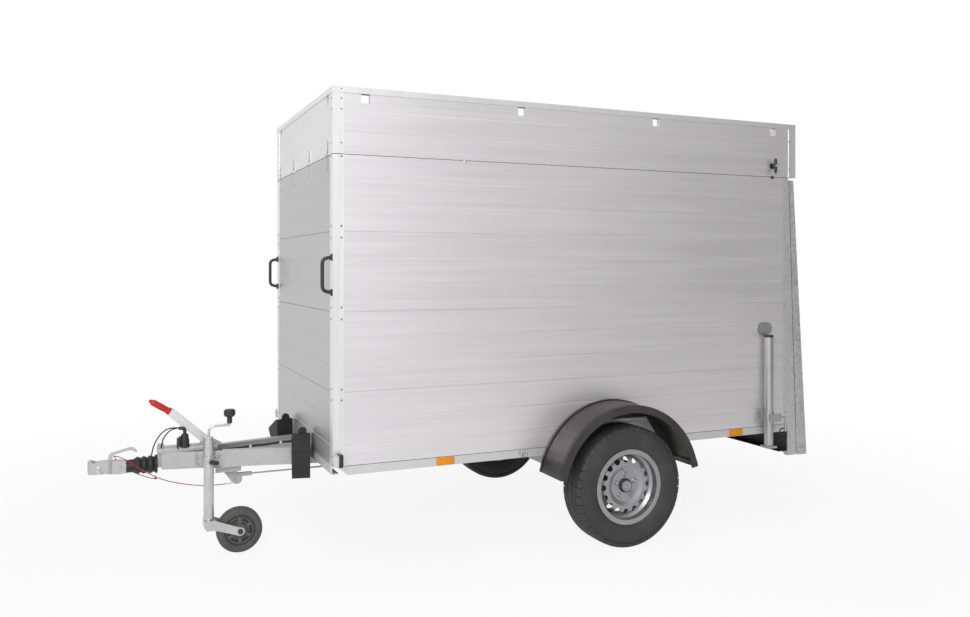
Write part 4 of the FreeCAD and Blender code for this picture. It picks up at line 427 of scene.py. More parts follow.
def stage_floor():
    mesh = bpy.data.meshes.new("stage_floor")
    form = bmesh.new()
    bmesh.ops.create_grid(form, x_segments=1, y_segments=1, size=FLOOR_REACH)
    form.to_mesh(mesh)
    form.free()
    floor = bpy.data.objects.new("stage_floor", mesh)
    bpy.context.collection.objects.link(floor)
    finish = Finish("pale_floor", Base_Color=(0.8, 0.8, 0.8, 1), Roughness=0.9)
    away = finish.add("VectorMath", {"operation": "LENGTH"}, {0: finish.place()}, out="Value")
    far_off = finish.between(away, SHADOW_REACH, CLEAR_REACH)
    clear = far_off * SHADOW_SHARE + (1 - SHADOW_SHARE)
    glow = finish.add("Emission", {}, {"Color": (1, 1, 1, 1), "Strength": 1.0})
    plain = Value(finish, finish.shader.outputs[0])
    both = finish.add("MixShader", {}, {0: seen_directly(finish) * clear, 1: plain, 2: glow})
    finish.put(finish.tree.nodes["Material Output"].inputs["Surface"], both)
    mesh.materials.append(finish.material)


def lamp(name, place, aim, size, power):
    data = bpy.data.lights.new(name, "AREA")
    data.shape = "RECTANGLE"
    data.size, data.size_y = size
    data.energy = power
    made = bpy.data.objects.new(name, data)
    made.location = place
    made.rotation_euler = (Vector(aim) - Vector(place)).to_track_quat("-Z", "Y").to_euler()
    bpy.context.collection.objects.link(made)


class WorldFinish(Finish):
    """The world's node tree, with the same sums as a material."""

    def __init__(self, name):
        self.material = bpy.data.worlds.new(name)
        self.material.use_nodes = True
        self.tree = self.material.node_tree
        self.shader = self.tree.nodes["Background"]


def studio_world():
    world = WorldFinish("studio")
    bpy.context.scene.world = world.material
    ahead = world.ahead(world.add("TexCoord", out="Generated"))
    even = world.between(ahead, *WORLD_FALL) * (1 - REAR_SHADE) + REAR_SHADE
    straight = world.between(world.ray("Camera") + world.ray("Transmission"), 0, 1)
    strength = even * (world.ray("Glossy") * (1 - WORLD_LEVEL) + WORLD_LEVEL)
    world.wear(Color=(1, 1, 1, 1), Strength=straight + (1 - straight) * strength)


stage_floor()
studio_world()
for setting in LAMPS:
    lamp(*setting)
bpy.context.scene.view_settings.view_transform = "Standard"
print("studio lit by", len(LAMPS), "lamps")

# %% [markdown]
# The solids end here, and the small parts begin. Each is a closed form in a bmesh: a profile
# turned about an axis, or a block with its edges trimmed. Several such forms make up one
# piece, which then rides on a body of the frame. A ray onto a solid finds the exact place and
# the way out for whatever is fixed on it, so no screw floats or sinks in.

# %% Forms
SIDES = (("left", 1), ("right", -1))
BOTH_SIDES = (1, -1)
X_WAY, Y_WAY, Z_WAY = Vector((1, 0, 0)), Vector((0, 1, 0)), Vector((0, 0, 1))
SHARP_ANGLE = 35


def round_row(form, middle, side, other, radius, segments):
    """A row of vertices round a middle, in the plane of two directions."""
    angles = [2 * math.pi * step / segments for step in range(segments)]
    return [form.verts.new(middle + (side * math.cos(a) + other * math.sin(a)) * radius)
            for a in angles]


def join_rows(form, low, high):
    """Faces between two closed rows of the same length."""
    for step, corner in enumerate(low):
        after = (step + 1) % len(low)
        form.faces.new((corner, low[after], high[after], high[step]))


def add_turned(form, place, along, profile, segments=20):
    """Turns (how far along, radius) pairs about an axis. Both ends close on the axis."""
    axis = Vector(along).normalized()
    side = axis.orthogonal().normalized()
    other = axis.cross(side)
    rows = []
    for far, radius in [(profile[0][0], 0), *profile, (profile[-1][0], 0)]:
        middle = Vector(place) + axis * far
        if radius:
            rows.append(round_row(form, middle, side, other, radius, segments))
        else:
            rows.append([form.verts.new(middle)])
    for low, high in zip(rows, rows[1:]):
        for step in range(segments):
            corners = []
            for row, spot in ((low, step), (low, step + 1), (high, step + 1), (high, step)):
                corner = row[spot % len(row)]
                if corner not in corners:
                    corners.append(corner)
            form.faces.new(corners)


def add_block(form, low, high, trim=0.0):
    """A block between two corners, its edges trimmed."""
    made = bmesh.ops.create_cube(form, size=1)["verts"]
    low, high = Vector(low), Vector(high)
    for vert in made:
        vert.co = Vector([(l + h) / 2 + c * (h - l) for l, h, c in zip(low, high, vert.co)])
    if trim:
        edges = {edge for vert in made for edge in vert.link_edges}
        bmesh.ops.bevel(form, geom=list(edges), offset=trim, segments=2, affect="EDGES",
                        profile=0.6)


def add_side_block(form, side, low, high, trim, about=(0, 0, 0)):
    """A block whose corners are given for the left side, put on either side."""
    near, far = sorted((low[1] * side, high[1] * side))
    about = Vector(about)
    add_block(form, about + Vector((low[0], near, low[2])),
              about + Vector((high[0], far, high[2])), trim)


def add_tube(form, points, radius, segments=10):
    """A round bar through points, closed at both ends."""
    points = [Vector(p) for p in points]
    side = (points[1] - points[0]).normalized().orthogonal().normalized()
    rows = []
    for number, point in enumerate(points):
        before = points[max(number - 1, 0)]
        after = points[min(number + 1, len(points) - 1)]
        ahead = (after - before).normalized()
        side = (side - ahead * side.dot(ahead)).normalized()
        rows.append(round_row(form, point, side, ahead.cross(side), radius, segments))
    for low, high in zip(rows, rows[1:]):
        join_rows(form, low, high)
    form.faces.new(rows[0][::-1])
    form.faces.new(rows[-1])


def add_rounded_bar(form, start, end, radius, thick, across):
    """A flat bar with round ends, a half turn at each."""
    start, end, across = Vector(start), Vector(end), Vector(across).normalized()
    along = (end - start).normalized()
    up = along.cross(across)
    rows = []
    for level in (0, thick):
        row = []
        for middle, first in ((start, 90), (end, -90)):
            for step in range(9):
                angle = math.radians(first + 22.5 * step)
                out = along * math.cos(angle) + up * math.sin(angle)
                row.append(form.verts.new(middle + across * level + out * radius))
        rows.append(row)
    form.faces.new(rows[0][::-1])
    form.faces.new(rows[1])
    join_rows(form, *rows)


def circle(middle, first, second, radius, steps):
    """A closed round of points in the plane of two directions."""
    angles = [2 * math.pi * step / steps for step in range(steps + 1)]
    return [middle + first * (radius * math.cos(a)) + second * (radius * math.sin(a))
            for a in angles]


def mesh_of(form, name, sharp=SHARP_ANGLE):
    """Ends a bmesh: faces outwards, smooth but for its sharp edges."""
    bmesh.ops.recalc_face_normals(form, faces=form.faces)
    mesh = bpy.data.meshes.new(name)
    form.to_mesh(mesh)
    form.free()
    mesh.shade_smooth()
    mesh.set_sharp_from_angle(angle=math.radians(sharp))
    return mesh


print("forms ready")

# %% [markdown]
# Two things place a form: what it belongs to, and the spot on a solid that carries it.

# %% Pieces and places
FAR_AHEAD = 2
FAR_BEHIND = -3


def fitted(name, mesh, finish, body, slot, *stands_for):
    """Makes a mesh a piece of the trailer that moves with one of its bodies."""
    mesh.materials.clear()
    mesh.materials.append(finish)
    piece = bpy.data.objects.new(name, mesh)
    bpy.context.collection.objects.link(piece)
    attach(piece, body)
    if stands_for:
        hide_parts(*stands_for)
    return piece


def fitted_form(name, form, finish, body, slot, *stands_for, sharp=SHARP_ANGLE):
    """Ends a bmesh and makes it a piece."""
    return fitted(name, mesh_of(form, name, sharp), finish, body, slot, *stands_for)


def fitted_turned(name, place, along, profile, segments, finish, body, slot,
                  sharp=SHARP_ANGLE):
    """A piece that is one turned form."""
    form = bmesh.new()
    add_turned(form, place, along, profile, segments)
    fitted_form(name, form, finish, body, slot, sharp=sharp)


surfaces = {}


def on_surface(node, start, way):
    """Where a ray meets a solid, and the way out of the solid there."""
    if node not in surfaces:
        form = bmesh.new()
        form.from_mesh(nodes[node].data)
        surfaces[node] = BVHTree.FromBMesh(form)
        form.free()
    spot, out, _, _ = surfaces[node].ray_cast(Vector(start), Vector(way))
    if spot is None:
        raise ValueError("nothing of %s lies that way from %s" % (node, tuple(start)))
    return spot, out if out.dot(Vector(way)) < 0 else -out


def from_side(node, x, height, side, away=1.0):
    """The spot that a level ray from the left (1) or the right (-1) meets."""
    return on_surface(node, (x, away * side, height), (0, -side, 0))


def from_ahead(node, y, height):
    return on_surface(node, (FAR_AHEAD, y, height), (-1, 0, 0))


def from_behind(node, y, height):
    return on_surface(node, (FAR_BEHIND, y, height), (1, 0, 0))


def side_spots(node, places, heights):
    """Spots on both sides, at every place along X and every height."""
    return [from_side(node, x, height, side)
            for side in BOTH_SIDES for x in places for height in heights]


print("a screw would sit at", from_side("front_covers", FRONT_X - 0.04, 1, 1)[0])

# %% [markdown]
# What repeats is grown by Geometry Nodes. One tree sets a fixing on every given spot and
# stands it upright on the surface there. A second turns copies of one block round the axle,
# as the tread of a tyre or the bolts of a wheel. Both end in plain mesh.

# %% Trees for fixings and for rings
class Growth(Finish):
    """A Geometry Nodes tree with named inputs, and the same sums as a material."""

    def __init__(self, name, **inputs):
        self.tree = bpy.data.node_groups.new(name, "GeometryNodeTree")
        new_socket = self.tree.interface.new_socket
        new_socket("Geometry", in_out="INPUT", socket_type="NodeSocketGeometry")
        new_socket("Geometry", in_out="OUTPUT", socket_type="NodeSocketGeometry")
        for socket, kind in inputs.items():
            new_socket(socket, in_out="INPUT", socket_type="NodeSocket" + kind)
        self.given = self.tree.nodes.new("NodeGroupInput")

    def geometry(self, kind, settings=None, sockets=None, out=0):
        """Makes a geometry node."""
        return self.node("GeometryNode" + kind, settings, sockets, out)

    def input(self, name):
        return Value(self, self.given.outputs[name])

    def end(self, points, pattern, turn, **sockets):
        """Sets the pattern's copies on the points, as plain mesh with one finish."""
        block = self.geometry("ObjectInfo", {}, {"Object": pattern}, out="Geometry")
        copies = self.geometry("InstanceOnPoints", {}, {
            "Points": points, "Instance": block, "Rotation": turn, **sockets})
        solid = self.geometry("RealizeInstances", {}, {"Geometry": copies})
        painted = self.geometry("SetMaterial", {}, {
            "Geometry": solid, "Material": self.input("Finish")})
        last = self.tree.nodes.new("NodeGroupOutput")
        self.put(last.inputs[0], painted)
        return self

    def grown(self, name, start, pattern, **given):
        """Runs the tree once on a start mesh. Returns the plain mesh that it grows."""
        master = bpy.data.objects.new(name + "_pattern", pattern)
        carrier = bpy.data.objects.new(name + "_carrier", start)
        for made in (master, carrier):
            bpy.context.collection.objects.link(made)
        modifier = carrier.modifiers.new("growth", "NODES")
        modifier.node_group = self.tree
        given["Pattern"] = master
        for item in self.tree.interface.items_tree:
            if item.in_out == "INPUT" and item.name in given:
                modifier[item.identifier] = given[item.name]
        settled = carrier.evaluated_get(bpy.context.evaluated_depsgraph_get())
        mesh = bpy.data.meshes.new_from_object(settled)
        mesh.name = name
        for made in (master, carrier):
            bpy.data.objects.remove(made)
        return mesh


def fixings_tree():
    tree = Growth("fixings", Pattern="Object", Size="Float", Finish="Material")
    facing = tree.geometry("InputNamedAttribute", {"data_type": "FLOAT_VECTOR"}, {
        "Name": "facing"})
    upright = tree.node("FunctionNodeAlignRotationToVector", {"axis": "Z"}, {"Vector": facing})
    return tree.end(tree.input("Geometry"), tree.input("Pattern"), upright,
                    Scale=tree.input("Size"))


def ring_tree():
    tree = Growth("ring", Pattern="Object", Count="Int", Finish="Material")
    count = tree.input("Count")
    points = tree.geometry("Points", {}, {"Count": count})
    angle = tree.geometry("InputIndex") * (2 * math.pi) / count
    turn = tree.add("CombineXYZ", {}, {"Y": angle})
    return tree.end(points, tree.input("Pattern"), turn)


fixings = fixings_tree()
ring = ring_tree()


def fixed_on(name, head, finish, body, slot, spots, size=1.0):
    """Sets one kind of fixing on every spot, each a place and the way out there."""
    start = bpy.data.meshes.new(name + "_spots")
    start.from_pydata([spot for spot, out in spots], [], [])
    facing = start.attributes.new("facing", "FLOAT_VECTOR", "POINT")
    facing.data.foreach_set("vector", [part for spot, out in spots for part in out])
    mesh = fixings.grown(name, start, head.copy(), Size=size, Finish=finish)
    fitted(name, mesh, finish, body, slot)


def ring_about(name, block, count, finish, centre):
    """Copies a block round the Y axis through a centre."""
    start = bpy.data.meshes.new(name + "_start")
    mesh = ring.grown(name, start, block, Count=count, Finish=finish)
    mesh.transform(Matrix.Translation(centre))
    return mesh


def turned_head(name, *layers):
    """A fixing's head along Z from its seat: profiles with their number of sides."""
    form = bmesh.new()
    for profile, sides in layers:
        add_turned(form, (0, 0, 0), (0, 0, 1), profile, sides)
    return mesh_of(form, name)


PAN = ((-0.001, 0.0042), (0.0006, 0.0044), (0.0018, 0.0034), (0.0024, 0.0018),
       (0.0022, 0.0014), (0.0012, 0.0010))
RIVET = ((-0.001, 0.0046), (0.0004, 0.0048), (0.0014, 0.0036), (0.0017, 0.0018),
         (0.0009, 0.0012))
WASHER = ((-0.001, 0.0105), (0.0014, 0.0105), (0.0019, 0.0100))
HEXAGON = ((0.0015, 0.0072), (0.0060, 0.0072), (0.0070, 0.0062))
DOME = ((-0.001, 0.0090), (0.0008, 0.0092), (0.0026, 0.0074), (0.0036, 0.0040))
PLUG = ((-0.001, 0.0080), (0.0006, 0.0082), (0.0016, 0.0068), (0.0020, 0.0030))

pan_head = turned_head("pan_head", (PAN, 14))
blind_rivet = turned_head("blind_rivet", (RIVET, 14))
hex_bolt = turned_head("hex_bolt", (WASHER, 18), (HEXAGON, 6))
carriage_head = turned_head("carriage_head", (DOME, 18))
blind_plug = turned_head("blind_plug", (PLUG, 20))
print("heads", [len(mesh.polygons) for mesh in (
    pan_head, blind_rivet, hex_bolt, carriage_head, blind_plug)])

# %% [markdown]
# The cords. Each is one smooth NURBS line over the route that its solid tube follows: the red
# breakaway cable hangs from the brake linkage, climbs over the coupling and comes back
# under the bellows, and two thin leads arch from the parked plug down to the housing.

# %% Breakaway cable and plug leads
BREAKAWAY = (
    (332, 6, 312), (362, 8, 309), (400, 9, 308.5), (445, 12, 310), (492, 17, 315),
    (540, 23, 324), (590, 29, 338), (638, 35, 353), (682, 45, 374), (718, 53, 396),
    (752, 55, 418), (784, 52, 441), (813, 45, 463), (840, 34, 481), (866, 16, 489),
    (882, -4, 489), (877, -26, 478), (866, -42, 458), (846, -50, 434), (820, -52, 410),
    (790, -48, 391), (760, -34, 380), (735, -12, 374), (718, 14, 371), (699, 44, 376.5),
)
OUTER_LEAD = (
    (597, 29.5, 604.5), (622, 32, 608), (652, 30, 602), (680, 25, 578), (699, 17, 545),
    (711, 9, 512), (716, 5, 480),
)
INNER_LEAD = (
    (597, 22.5, 603), (618, 21, 601), (640, 18, 589), (659, 14, 566), (669, 11, 541),
    (673, 9, 513.2),
)
CRIMP = ((334, 6.2, 311.8), (344, 6.7, 310.8), (358, 7.7, 309.4), (374, 8.5, 308.8))
CRIMP_RADIUS = 0.0033
TIE_TAIL = ((700, 44.5, 372), (702, 46, 380), (704, 48, 389))
TIE_TAIL_RADIUS = 0.0024
TIE_KNOT = ((696, 43.5, 374.6), (700, 44.2, 376.2), (704, 44.6, 377.4))
TIE_KNOT_RADIUS = 0.0036


def in_frame(rows):
    """Points given in millimetres ahead of the box, as metres in the frame."""
    return [Vector((FRONT_X + ahead / 1000, side / 1000, height / 1000))
            for ahead, side, height in rows]


def laid_cord(name, rows, diameter, finish, node, with_pieces=()):
    data = bpy.data.curves.new(name, "CURVE")
    data.dimensions = "3D"
    data.bevel_depth = diameter / 2
    data.bevel_resolution = 4
    data.resolution_u = 12
    data.use_fill_caps = True
    line = data.splines.new("NURBS")
    points = in_frame(rows)
    line.points.add(len(points) - 1)
    for point, place in zip(line.points, points):
        point.co = (*place, 1)
    line.order_u = 3
    line.use_endpoint_u = True
    data.materials.append(finish)
    cord = bpy.data.objects.new(name, data)
    bpy.context.collection.objects.link(cord)
    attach(cord, "chassis")
    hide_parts(node)


def cable_crimp():
    """The pressed sleeve that holds the cable's rear end in its clevis."""
    form = bmesh.new()
    add_tube(form, in_frame(CRIMP), CRIMP_RADIUS)
    return fitted_form("cable_crimp", form, white_plastic, "chassis", "red_plastic")


def cable_tie():
    """The black tie that gathers both runs of the cable under the bellows."""
    form = bmesh.new()
    add_tube(form, in_frame(TIE_TAIL), TIE_TAIL_RADIUS)
    add_tube(form, in_frame(TIE_KNOT), TIE_KNOT_RADIUS)
    return fitted_form("cable_tie", form, black_plastic, "chassis", "black_plastic")


laid_cord("red_cable", BREAKAWAY, 0.004, cable_red, "breakaway_cable",
          [cable_crimp(), cable_tie()])
laid_cord("outer_plug_lead", OUTER_LEAD, 0.006, boot_rubber,
          "plug_leads", [nodes["trailer_plug"]])
laid_cord("inner_plug_lead", INNER_LEAD, 0.006, boot_rubber,
          "plug_leads")
print("three cords laid")

# %% [markdown]
# The tyres. A road tyre is a smooth turned body with its tread cut in: so the body is turned
# from a section that ends a groove's depth below the tread, and blocks stand on it. Only one
# twist of the ring is modelled, a shoulder block and two ribs on either side and a middle
# block, and the ring tree copies it round the wheel.

# %% Tyres with their tread
WHEEL_X = FRONT_X - 1.430
WHEEL_Y = 0.7585
AXLE_Z = 0.297
TYRE_STEPS = 144
TREAD_COUNT = 44
TYRE_SECTION = (
    (0.0605, 0.1662), (0.0616, 0.1740), (0.0618, 0.1838), (0.0650, 0.1856), (0.0694, 0.1876),
    (0.0726, 0.1910), (0.0750, 0.1968), (0.0780, 0.2050), (0.0808, 0.2190), (0.0820, 0.2300),
    (0.0824, 0.2330), (0.0818, 0.2345), (0.0820, 0.2420), (0.0810, 0.2530), (0.0792, 0.2640),
    (0.0764, 0.2705), (0.0728, 0.2775), (0.0690, 0.2836), (0.0630, 0.2880), (0.0500, 0.2906),
    (0.0300, 0.2916), (0.0, 0.2918),
)
SHOULDER_SECTION = (
    (0.0510, 0.2890), (0.0510, 0.2963), (0.0640, 0.2950), (0.0715, 0.2915), (0.0764, 0.2850),
    (0.0786, 0.2785), (0.0794, 0.2730), (0.0765, 0.2715), (0.0690, 0.2810), (0.0620, 0.2870),
)
RIB_SECTION = ((0.0210, 0.2900), (0.0210, 0.2968), (0.0465, 0.2964), (0.0465, 0.2895))
MIDDLE_SECTION = ((-0.0155, 0.2900), (-0.0155, 0.2969), (0.0155, 0.2969), (0.0155, 0.2900))
SIDE_BLOCKS = (  # section, shares of the twist where it starts and ends, skew, slices
    (SHOULDER_SECTION, 0.0, 0.92, 0.9, 3),
    (RIB_SECTION, 0.30, 0.76, -2.6, 2),
    (RIB_SECTION, 0.82, 1.24, -2.6, 2),
)
MIDDLE_SHARE = 0.93
MIDDLE_SKEW = 2.4


def add_arc_block(form, section, first, last, skew, slices=3):
    """A block whose section (across, radius) is turned from one angle to another."""
    rows = []
    for step in range(slices + 1):
        angle = first + (last - first) * step / slices
        row = []
        for across, radius in section:
            bent = angle + skew * across
            row.append(form.verts.new((radius * math.sin(bent), across, radius * math.cos(bent))))
        rows.append(row)
    form.faces.new(rows[0])
    form.faces.new(rows[-1][::-1])
    for near, far in zip(rows, rows[1:]):
        for spot in range(len(section)):
            after = (spot + 1) % len(section)
            form.faces.new((near[spot], far[spot], far[after], near[after]))


def tread_twist():
    form = bmesh.new()
    step = 2 * math.pi / TREAD_COUNT
    for side in BOTH_SIDES:
        shift = 0.0 if side > 0 else step * 0.5
        for section, first, last, skew, slices in SIDE_BLOCKS:
            sided = [(across * side, radius) for across, radius in section]
            add_arc_block(form, sided, shift + step * first, shift + step * last, skew * side,
                          slices)
    add_arc_block(form, MIDDLE_SECTION, 0.0, step * MIDDLE_SHARE, MIDDLE_SKEW)
    return mesh_of(form, "tread_twist", sharp=30)


def tyre_form(centre):
    form = bmesh.new()
    angles = [2 * math.pi * step / TYRE_STEPS for step in range(TYRE_STEPS)]
    rows = []
    for across, radius in [*TYRE_SECTION, *[(-a, r) for a, r in TYRE_SECTION[-2::-1]]]:
        row = [Vector((radius * math.sin(a), across, radius * math.cos(a))) for a in angles]
        rows.append([form.verts.new(centre + place) for place in row])
    for low, high in zip(rows, rows[1:] + rows[:1]):
        join_rows(form, low, high)
    return form


for label, side in SIDES:
    body, tyre = label + "_wheel", "tyre_" + label
    centre = Vector((WHEEL_X, WHEEL_Y * side, AXLE_Z))
    fitted_form("tyre_body_" + label, tyre_form(centre), tyre_rubber, body, "tyre_rubber", tyre,
                sharp=50)
    tread = ring_about("tread_" + label, tread_twist(), TREAD_COUNT, tyre_rubber, centre)
    fitted("tread_" + label, tread, tyre_rubber, body, "tyre_rubber", tyre)
    print("tread blocks", label, len(tread.polygons), "faces")

# %% [markdown]
# The wheel's fittings. Five ball-seated bolts hold the disc, a pressed cap closes the hub in
# front of a black ring, partly where the drum shows and partly painted shade for the shadow
# of the cap, and a rubber valve leans out at the rim's edge.

# %% Wheel bolts, hub caps and valves
DISC_FACE = 0.0280
BOLT_COUNT = 5
BOLT_CIRCLE = 0.056
BOLT_BALL = ((-0.002, 0.0125), (0.0015, 0.0125), (0.0045, 0.0098))
BOLT_HEXAGON = ((0.0040, 0.0094), (0.0130, 0.0094), (0.0145, 0.0080))
HUB_RING = ((0.0260, 0.0300), (0.0325, 0.0350), (0.0345, 0.0340), (0.0345, 0.0280))
HUB_CAP = ((-0.0120, 0.0262), (0.0004, 0.0262), (0.0022, 0.0250), (0.0030, 0.0228),
           (0.0030, 0.0190), (0.0020, 0.0175), (0.0020, 0.0110), (0.0026, 0.0090))
VALVE = ((-0.006, 0.0075), (0.004, 0.0078), (0.010, 0.0055), (0.022, 0.0045), (0.024, 0.0052),
         (0.034, 0.0052), (0.036, 0.0040))
VALVE_PLACE = math.radians(-52)
VALVE_CIRCLE = 0.150
VALVE_FACE = 0.016
VALVE_LEAN = -0.25
HUB_PROBE = (0.008, 0.4)


def wheel_bolt(side):
    form = bmesh.new()
    seat = Vector((0, DISC_FACE * side, BOLT_CIRCLE))
    add_turned(form, seat, (0, side, 0), BOLT_BALL, 20)
    add_turned(form, seat, (0, side, 0), BOLT_HEXAGON, 6)
    return mesh_of(form, "wheel_bolt")


def wheel_fittings(label, side):
    body = label + "_wheel"
    out = (0, side, 0)
    centre = Vector((WHEEL_X, WHEEL_Y * side, AXLE_Z))
    bolts = "wheel_bolts_" + label
    fitted(bolts, ring_about(bolts, wheel_bolt(side), BOLT_COUNT, silver_paint, centre),
           silver_paint, body, "silver_paint")
    # The black ring is partly the drum seen through the bore and partly painted shade for the
    # cap's shadow.
    fitted_turned("hub_ring_" + label, centre, out, HUB_RING, 40, black_paint, body,
                  "black_paint")
    probe = centre + Vector((HUB_PROBE[0], HUB_PROBE[1] * side, 0))
    hub_end, _ = on_surface("brake_drum_" + label, probe, (0, -side, 0))
    fitted_turned("hub_cap_" + label, (WHEEL_X, hub_end.y, AXLE_Z), out, HUB_CAP, 40,
                  silver_paint, body, "silver_paint")
    away = (math.cos(VALVE_PLACE), math.sin(VALVE_PLACE))
    foot = centre + Vector((VALVE_CIRCLE * away[0], VALVE_FACE * side, VALVE_CIRCLE * away[1]))
    fitted_turned("valve_" + label, foot, (VALVE_LEAN * away[0], side, VALVE_LEAN * away[1]),
                  VALVE, 14, black_plastic, body, "black_plastic")


for label, side in SIDES:
    wheel_fittings(label, side)
print("wheels fitted out")

# %% [markdown]
# The jack wheel has a moulded centre: six grey spokes between a hub and an outer ring, in
# front of a black dish. The rubber is a solid already, so only these are added, on both
# faces, with the washers and bolt heads of the axle on the fork.

# %% Centre of the jack wheel
JACK_CENTRE = Vector((FRONT_X + 0.325, 0.104989, 0.1075))
SPOKE_COUNT = 6
SPOKE = ((-0.0085, 0.0180, 0.024), (0.0085, 0.0262, 0.058))
SPOKE_TRIM = 0.002
JACK_RING = ((0.0120, 0.0640), (0.0258, 0.0640), (0.0270, 0.0625), (0.0270, 0.0590),
             (0.0195, 0.0560), (0.0165, 0.0555))
JACK_HUB = ((0.0150, 0.0300), (0.0290, 0.0290), (0.0330, 0.0280), (0.0340, 0.0250),
            (0.0340, 0.0120))
JACK_DISH = ((0.0120, 0.0560), (0.0186, 0.0565), (0.0190, 0.0555), (0.0186, 0.0300))
BESIDE_FORK = 0.2
AXLE_WASHER = ((-0.001, 0.0125), (0.0015, 0.0125), (0.0018, 0.0115))
AXLE_HEXAGON = ((0.0015, 0.0095), (0.0075, 0.0095), (0.0085, 0.0080))


def jack_spoke(side):
    form = bmesh.new()
    add_side_block(form, side, *SPOKE, SPOKE_TRIM)
    return mesh_of(form, "jack_spoke")


for label, side in (("outer", 1), ("inner", -1)):
    name = "jack_spokes_" + label
    fitted(name, ring_about(name, jack_spoke(side), SPOKE_COUNT, spoke_plastic, JACK_CENTRE),
           spoke_plastic, "jack_roller", "black_plastic")
    form = bmesh.new()
    add_turned(form, JACK_CENTRE, (0, side, 0), JACK_RING, 48)
    add_turned(form, JACK_CENTRE, (0, side, 0), JACK_HUB, 40)
    fitted_form("jack_ring_" + label, form, spoke_plastic, "jack_roller", "black_plastic",
                sharp=30)
    fitted_turned("jack_dish_" + label, JACK_CENTRE, (0, side, 0), JACK_DISH, 48, black_plastic,
                  "jack_roller", "black_plastic", sharp=30)
form = bmesh.new()
for side in BOTH_SIDES:
    probe = JACK_CENTRE + Vector((0, BESIDE_FORK * side, 0))
    spot, out = on_surface("jack_fork", probe, (0, -side, 0))
    add_turned(form, spot, out, AXLE_WASHER, 20)
    add_turned(form, spot, out, AXLE_HEXAGON, 6)
fitted_form("jack_axle_bolts", form, black_paint, "jack_caster", "black_paint")
print("jack wheel centre made")

# %% [markdown]
# The screws of the box. The corner covers are screwed along both legs, the hinges carry
# two screws on each leaf, and the ramp's boards are riveted to its rails. Their heights come
# from the photograph, their places on the surface from a ray.

# %% Screws and rivets
COVER_SCREWS = (1.866, 1.557, 1.506, 1.196, 1.144, 0.834, 0.786, 0.534)
UPPER_SCREWS = (2.124, 2.076, 1.926)
COVER_X = FRONT_X - 0.036
COVER_Y = 0.630
REAR_X = FRONT_X - 2.603
UPPER_REAR_SCREWS = (2.080, 1.925)
RIM_SCREW = 2.165
POST_X = -1.708
POST_SCREWS = (0.535, 0.560, 0.86, 1.17, 1.48, 1.80)
HINGE_SPOTS = (0.566, 0.189, -0.189, -0.566)
LOWER_LEAF = (1.822, 1.846)
UPPER_LEAF = (1.906, 1.930)
DECK_Y = 0.585
DECK_RIVETS = [0.56 + 0.125 * step for step in range(11)]
FLOOR_ROWS = (-0.58, -0.2, 0.2, 0.58)
FLOOR_SCREWS = [0.75 - 0.29 * step for step in range(9)]
ABOVE_FLOOR = 1.5


def cover_spots(node, heights):
    spots = []
    for side in BOTH_SIDES:
        for height in heights:
            spots.append(from_side(node, COVER_X, height, side))
            spots.append(from_ahead(node, side * COVER_Y, height))
    return spots


fixed_on("cover_screws", pan_head, hinge_zinc, "chassis", "zinc",
         cover_spots("front_covers", COVER_SCREWS), size=1.2)
fixed_on("upper_cover_screws", pan_head, hinge_zinc, "upper_frame", "zinc",
         cover_spots("upper_front_covers", UPPER_SCREWS))
rim_spots = side_spots("upper_rear_posts", [REAR_X], UPPER_REAR_SCREWS)
rim_spots += side_spots("rim_sides", [COVER_X, REAR_X], [RIM_SCREW])
fixed_on("rim_screws", pan_head, hinge_zinc, "upper_frame", "zinc", rim_spots)
post_spots = side_spots("rear_posts", [POST_X], POST_SCREWS)
fixed_on("post_screws", pan_head, hinge_zinc, "chassis", "zinc", post_spots)
low_leaf_spots = [from_ahead("hinge_lower_leaves", y, z) for y in HINGE_SPOTS for z in LOWER_LEAF]
fixed_on("hinge_screws", pan_head, tube_zinc, "chassis", "zinc", low_leaf_spots)
high_leaf_spots = [from_ahead("hinge_upper_leaves", y, z) for y in HINGE_SPOTS for z in UPPER_LEAF]
fixed_on("upper_hinge_screws", pan_head, tube_zinc, "upper_frame", "zinc", high_leaf_spots)
deck_spots = [from_behind("ramp_deck", side * DECK_Y, z)
              for side in BOTH_SIDES for z in DECK_RIVETS]
fixed_on("ramp_rivets", blind_rivet, hinge_zinc, "ramp", "zinc", deck_spots)
floor_spots = [on_surface("floor_panel", (x, y, ABOVE_FLOOR), -Z_WAY)
               for y in FLOOR_ROWS for x in FLOOR_SCREWS]
fixed_on("floor_screws", pan_head, tube_zinc, "chassis", "zinc", floor_spots)
print("screws", len(post_spots) + len(low_leaf_spots) + len(deck_spots) + len(floor_spots))

# %% [markdown]
# Bolts of the chassis: the jack's clamp is bolted through the beam, with a pressed band that
# holds the tube between two rolled edges.

# %% Bolts
CLAMP_X = FRONT_X + 0.466
CLAMP_AWAY = 0.5
CLAMP_BOLTS = ((-0.040, 0.437), (-0.040, 0.467), (0.047, 0.437), (0.047, 0.467))
BAND_Y = 0.105
BAND_HEIGHTS = (0.4320, 0.4700)
BAND_EDGE = ((-0.0045, 0.0262), (-0.0035, 0.0292), (0, 0.0304), (0.0035, 0.0292),
             (0.0045, 0.0262))

bolt_spots = [from_side("jack_clamp", CLAMP_X + ahead, height, 1, CLAMP_AWAY)
              for ahead, height in CLAMP_BOLTS]
fixed_on("chassis_bolts", hex_bolt, prop_zinc, "chassis", "zinc", bolt_spots, size=0.9)
band = bmesh.new()
for height in BAND_HEIGHTS:
    add_turned(band, (CLAMP_X, BAND_Y, height), (0, 0, 1), BAND_EDGE, 40)
fitted_form("clamp_band", band, prop_zinc, "chassis", "zinc")
print("bolts", len(bolt_spots))

# %% [markdown]
# The lamps. Each front position lamp is a clear domed lens on a black foot, screwed to the
# front corner. The amber side reflectors are flat blocks with a raised field of prisms.
# At the rear the lamps have amber and clear parts beside the red, and the plate has a frame.

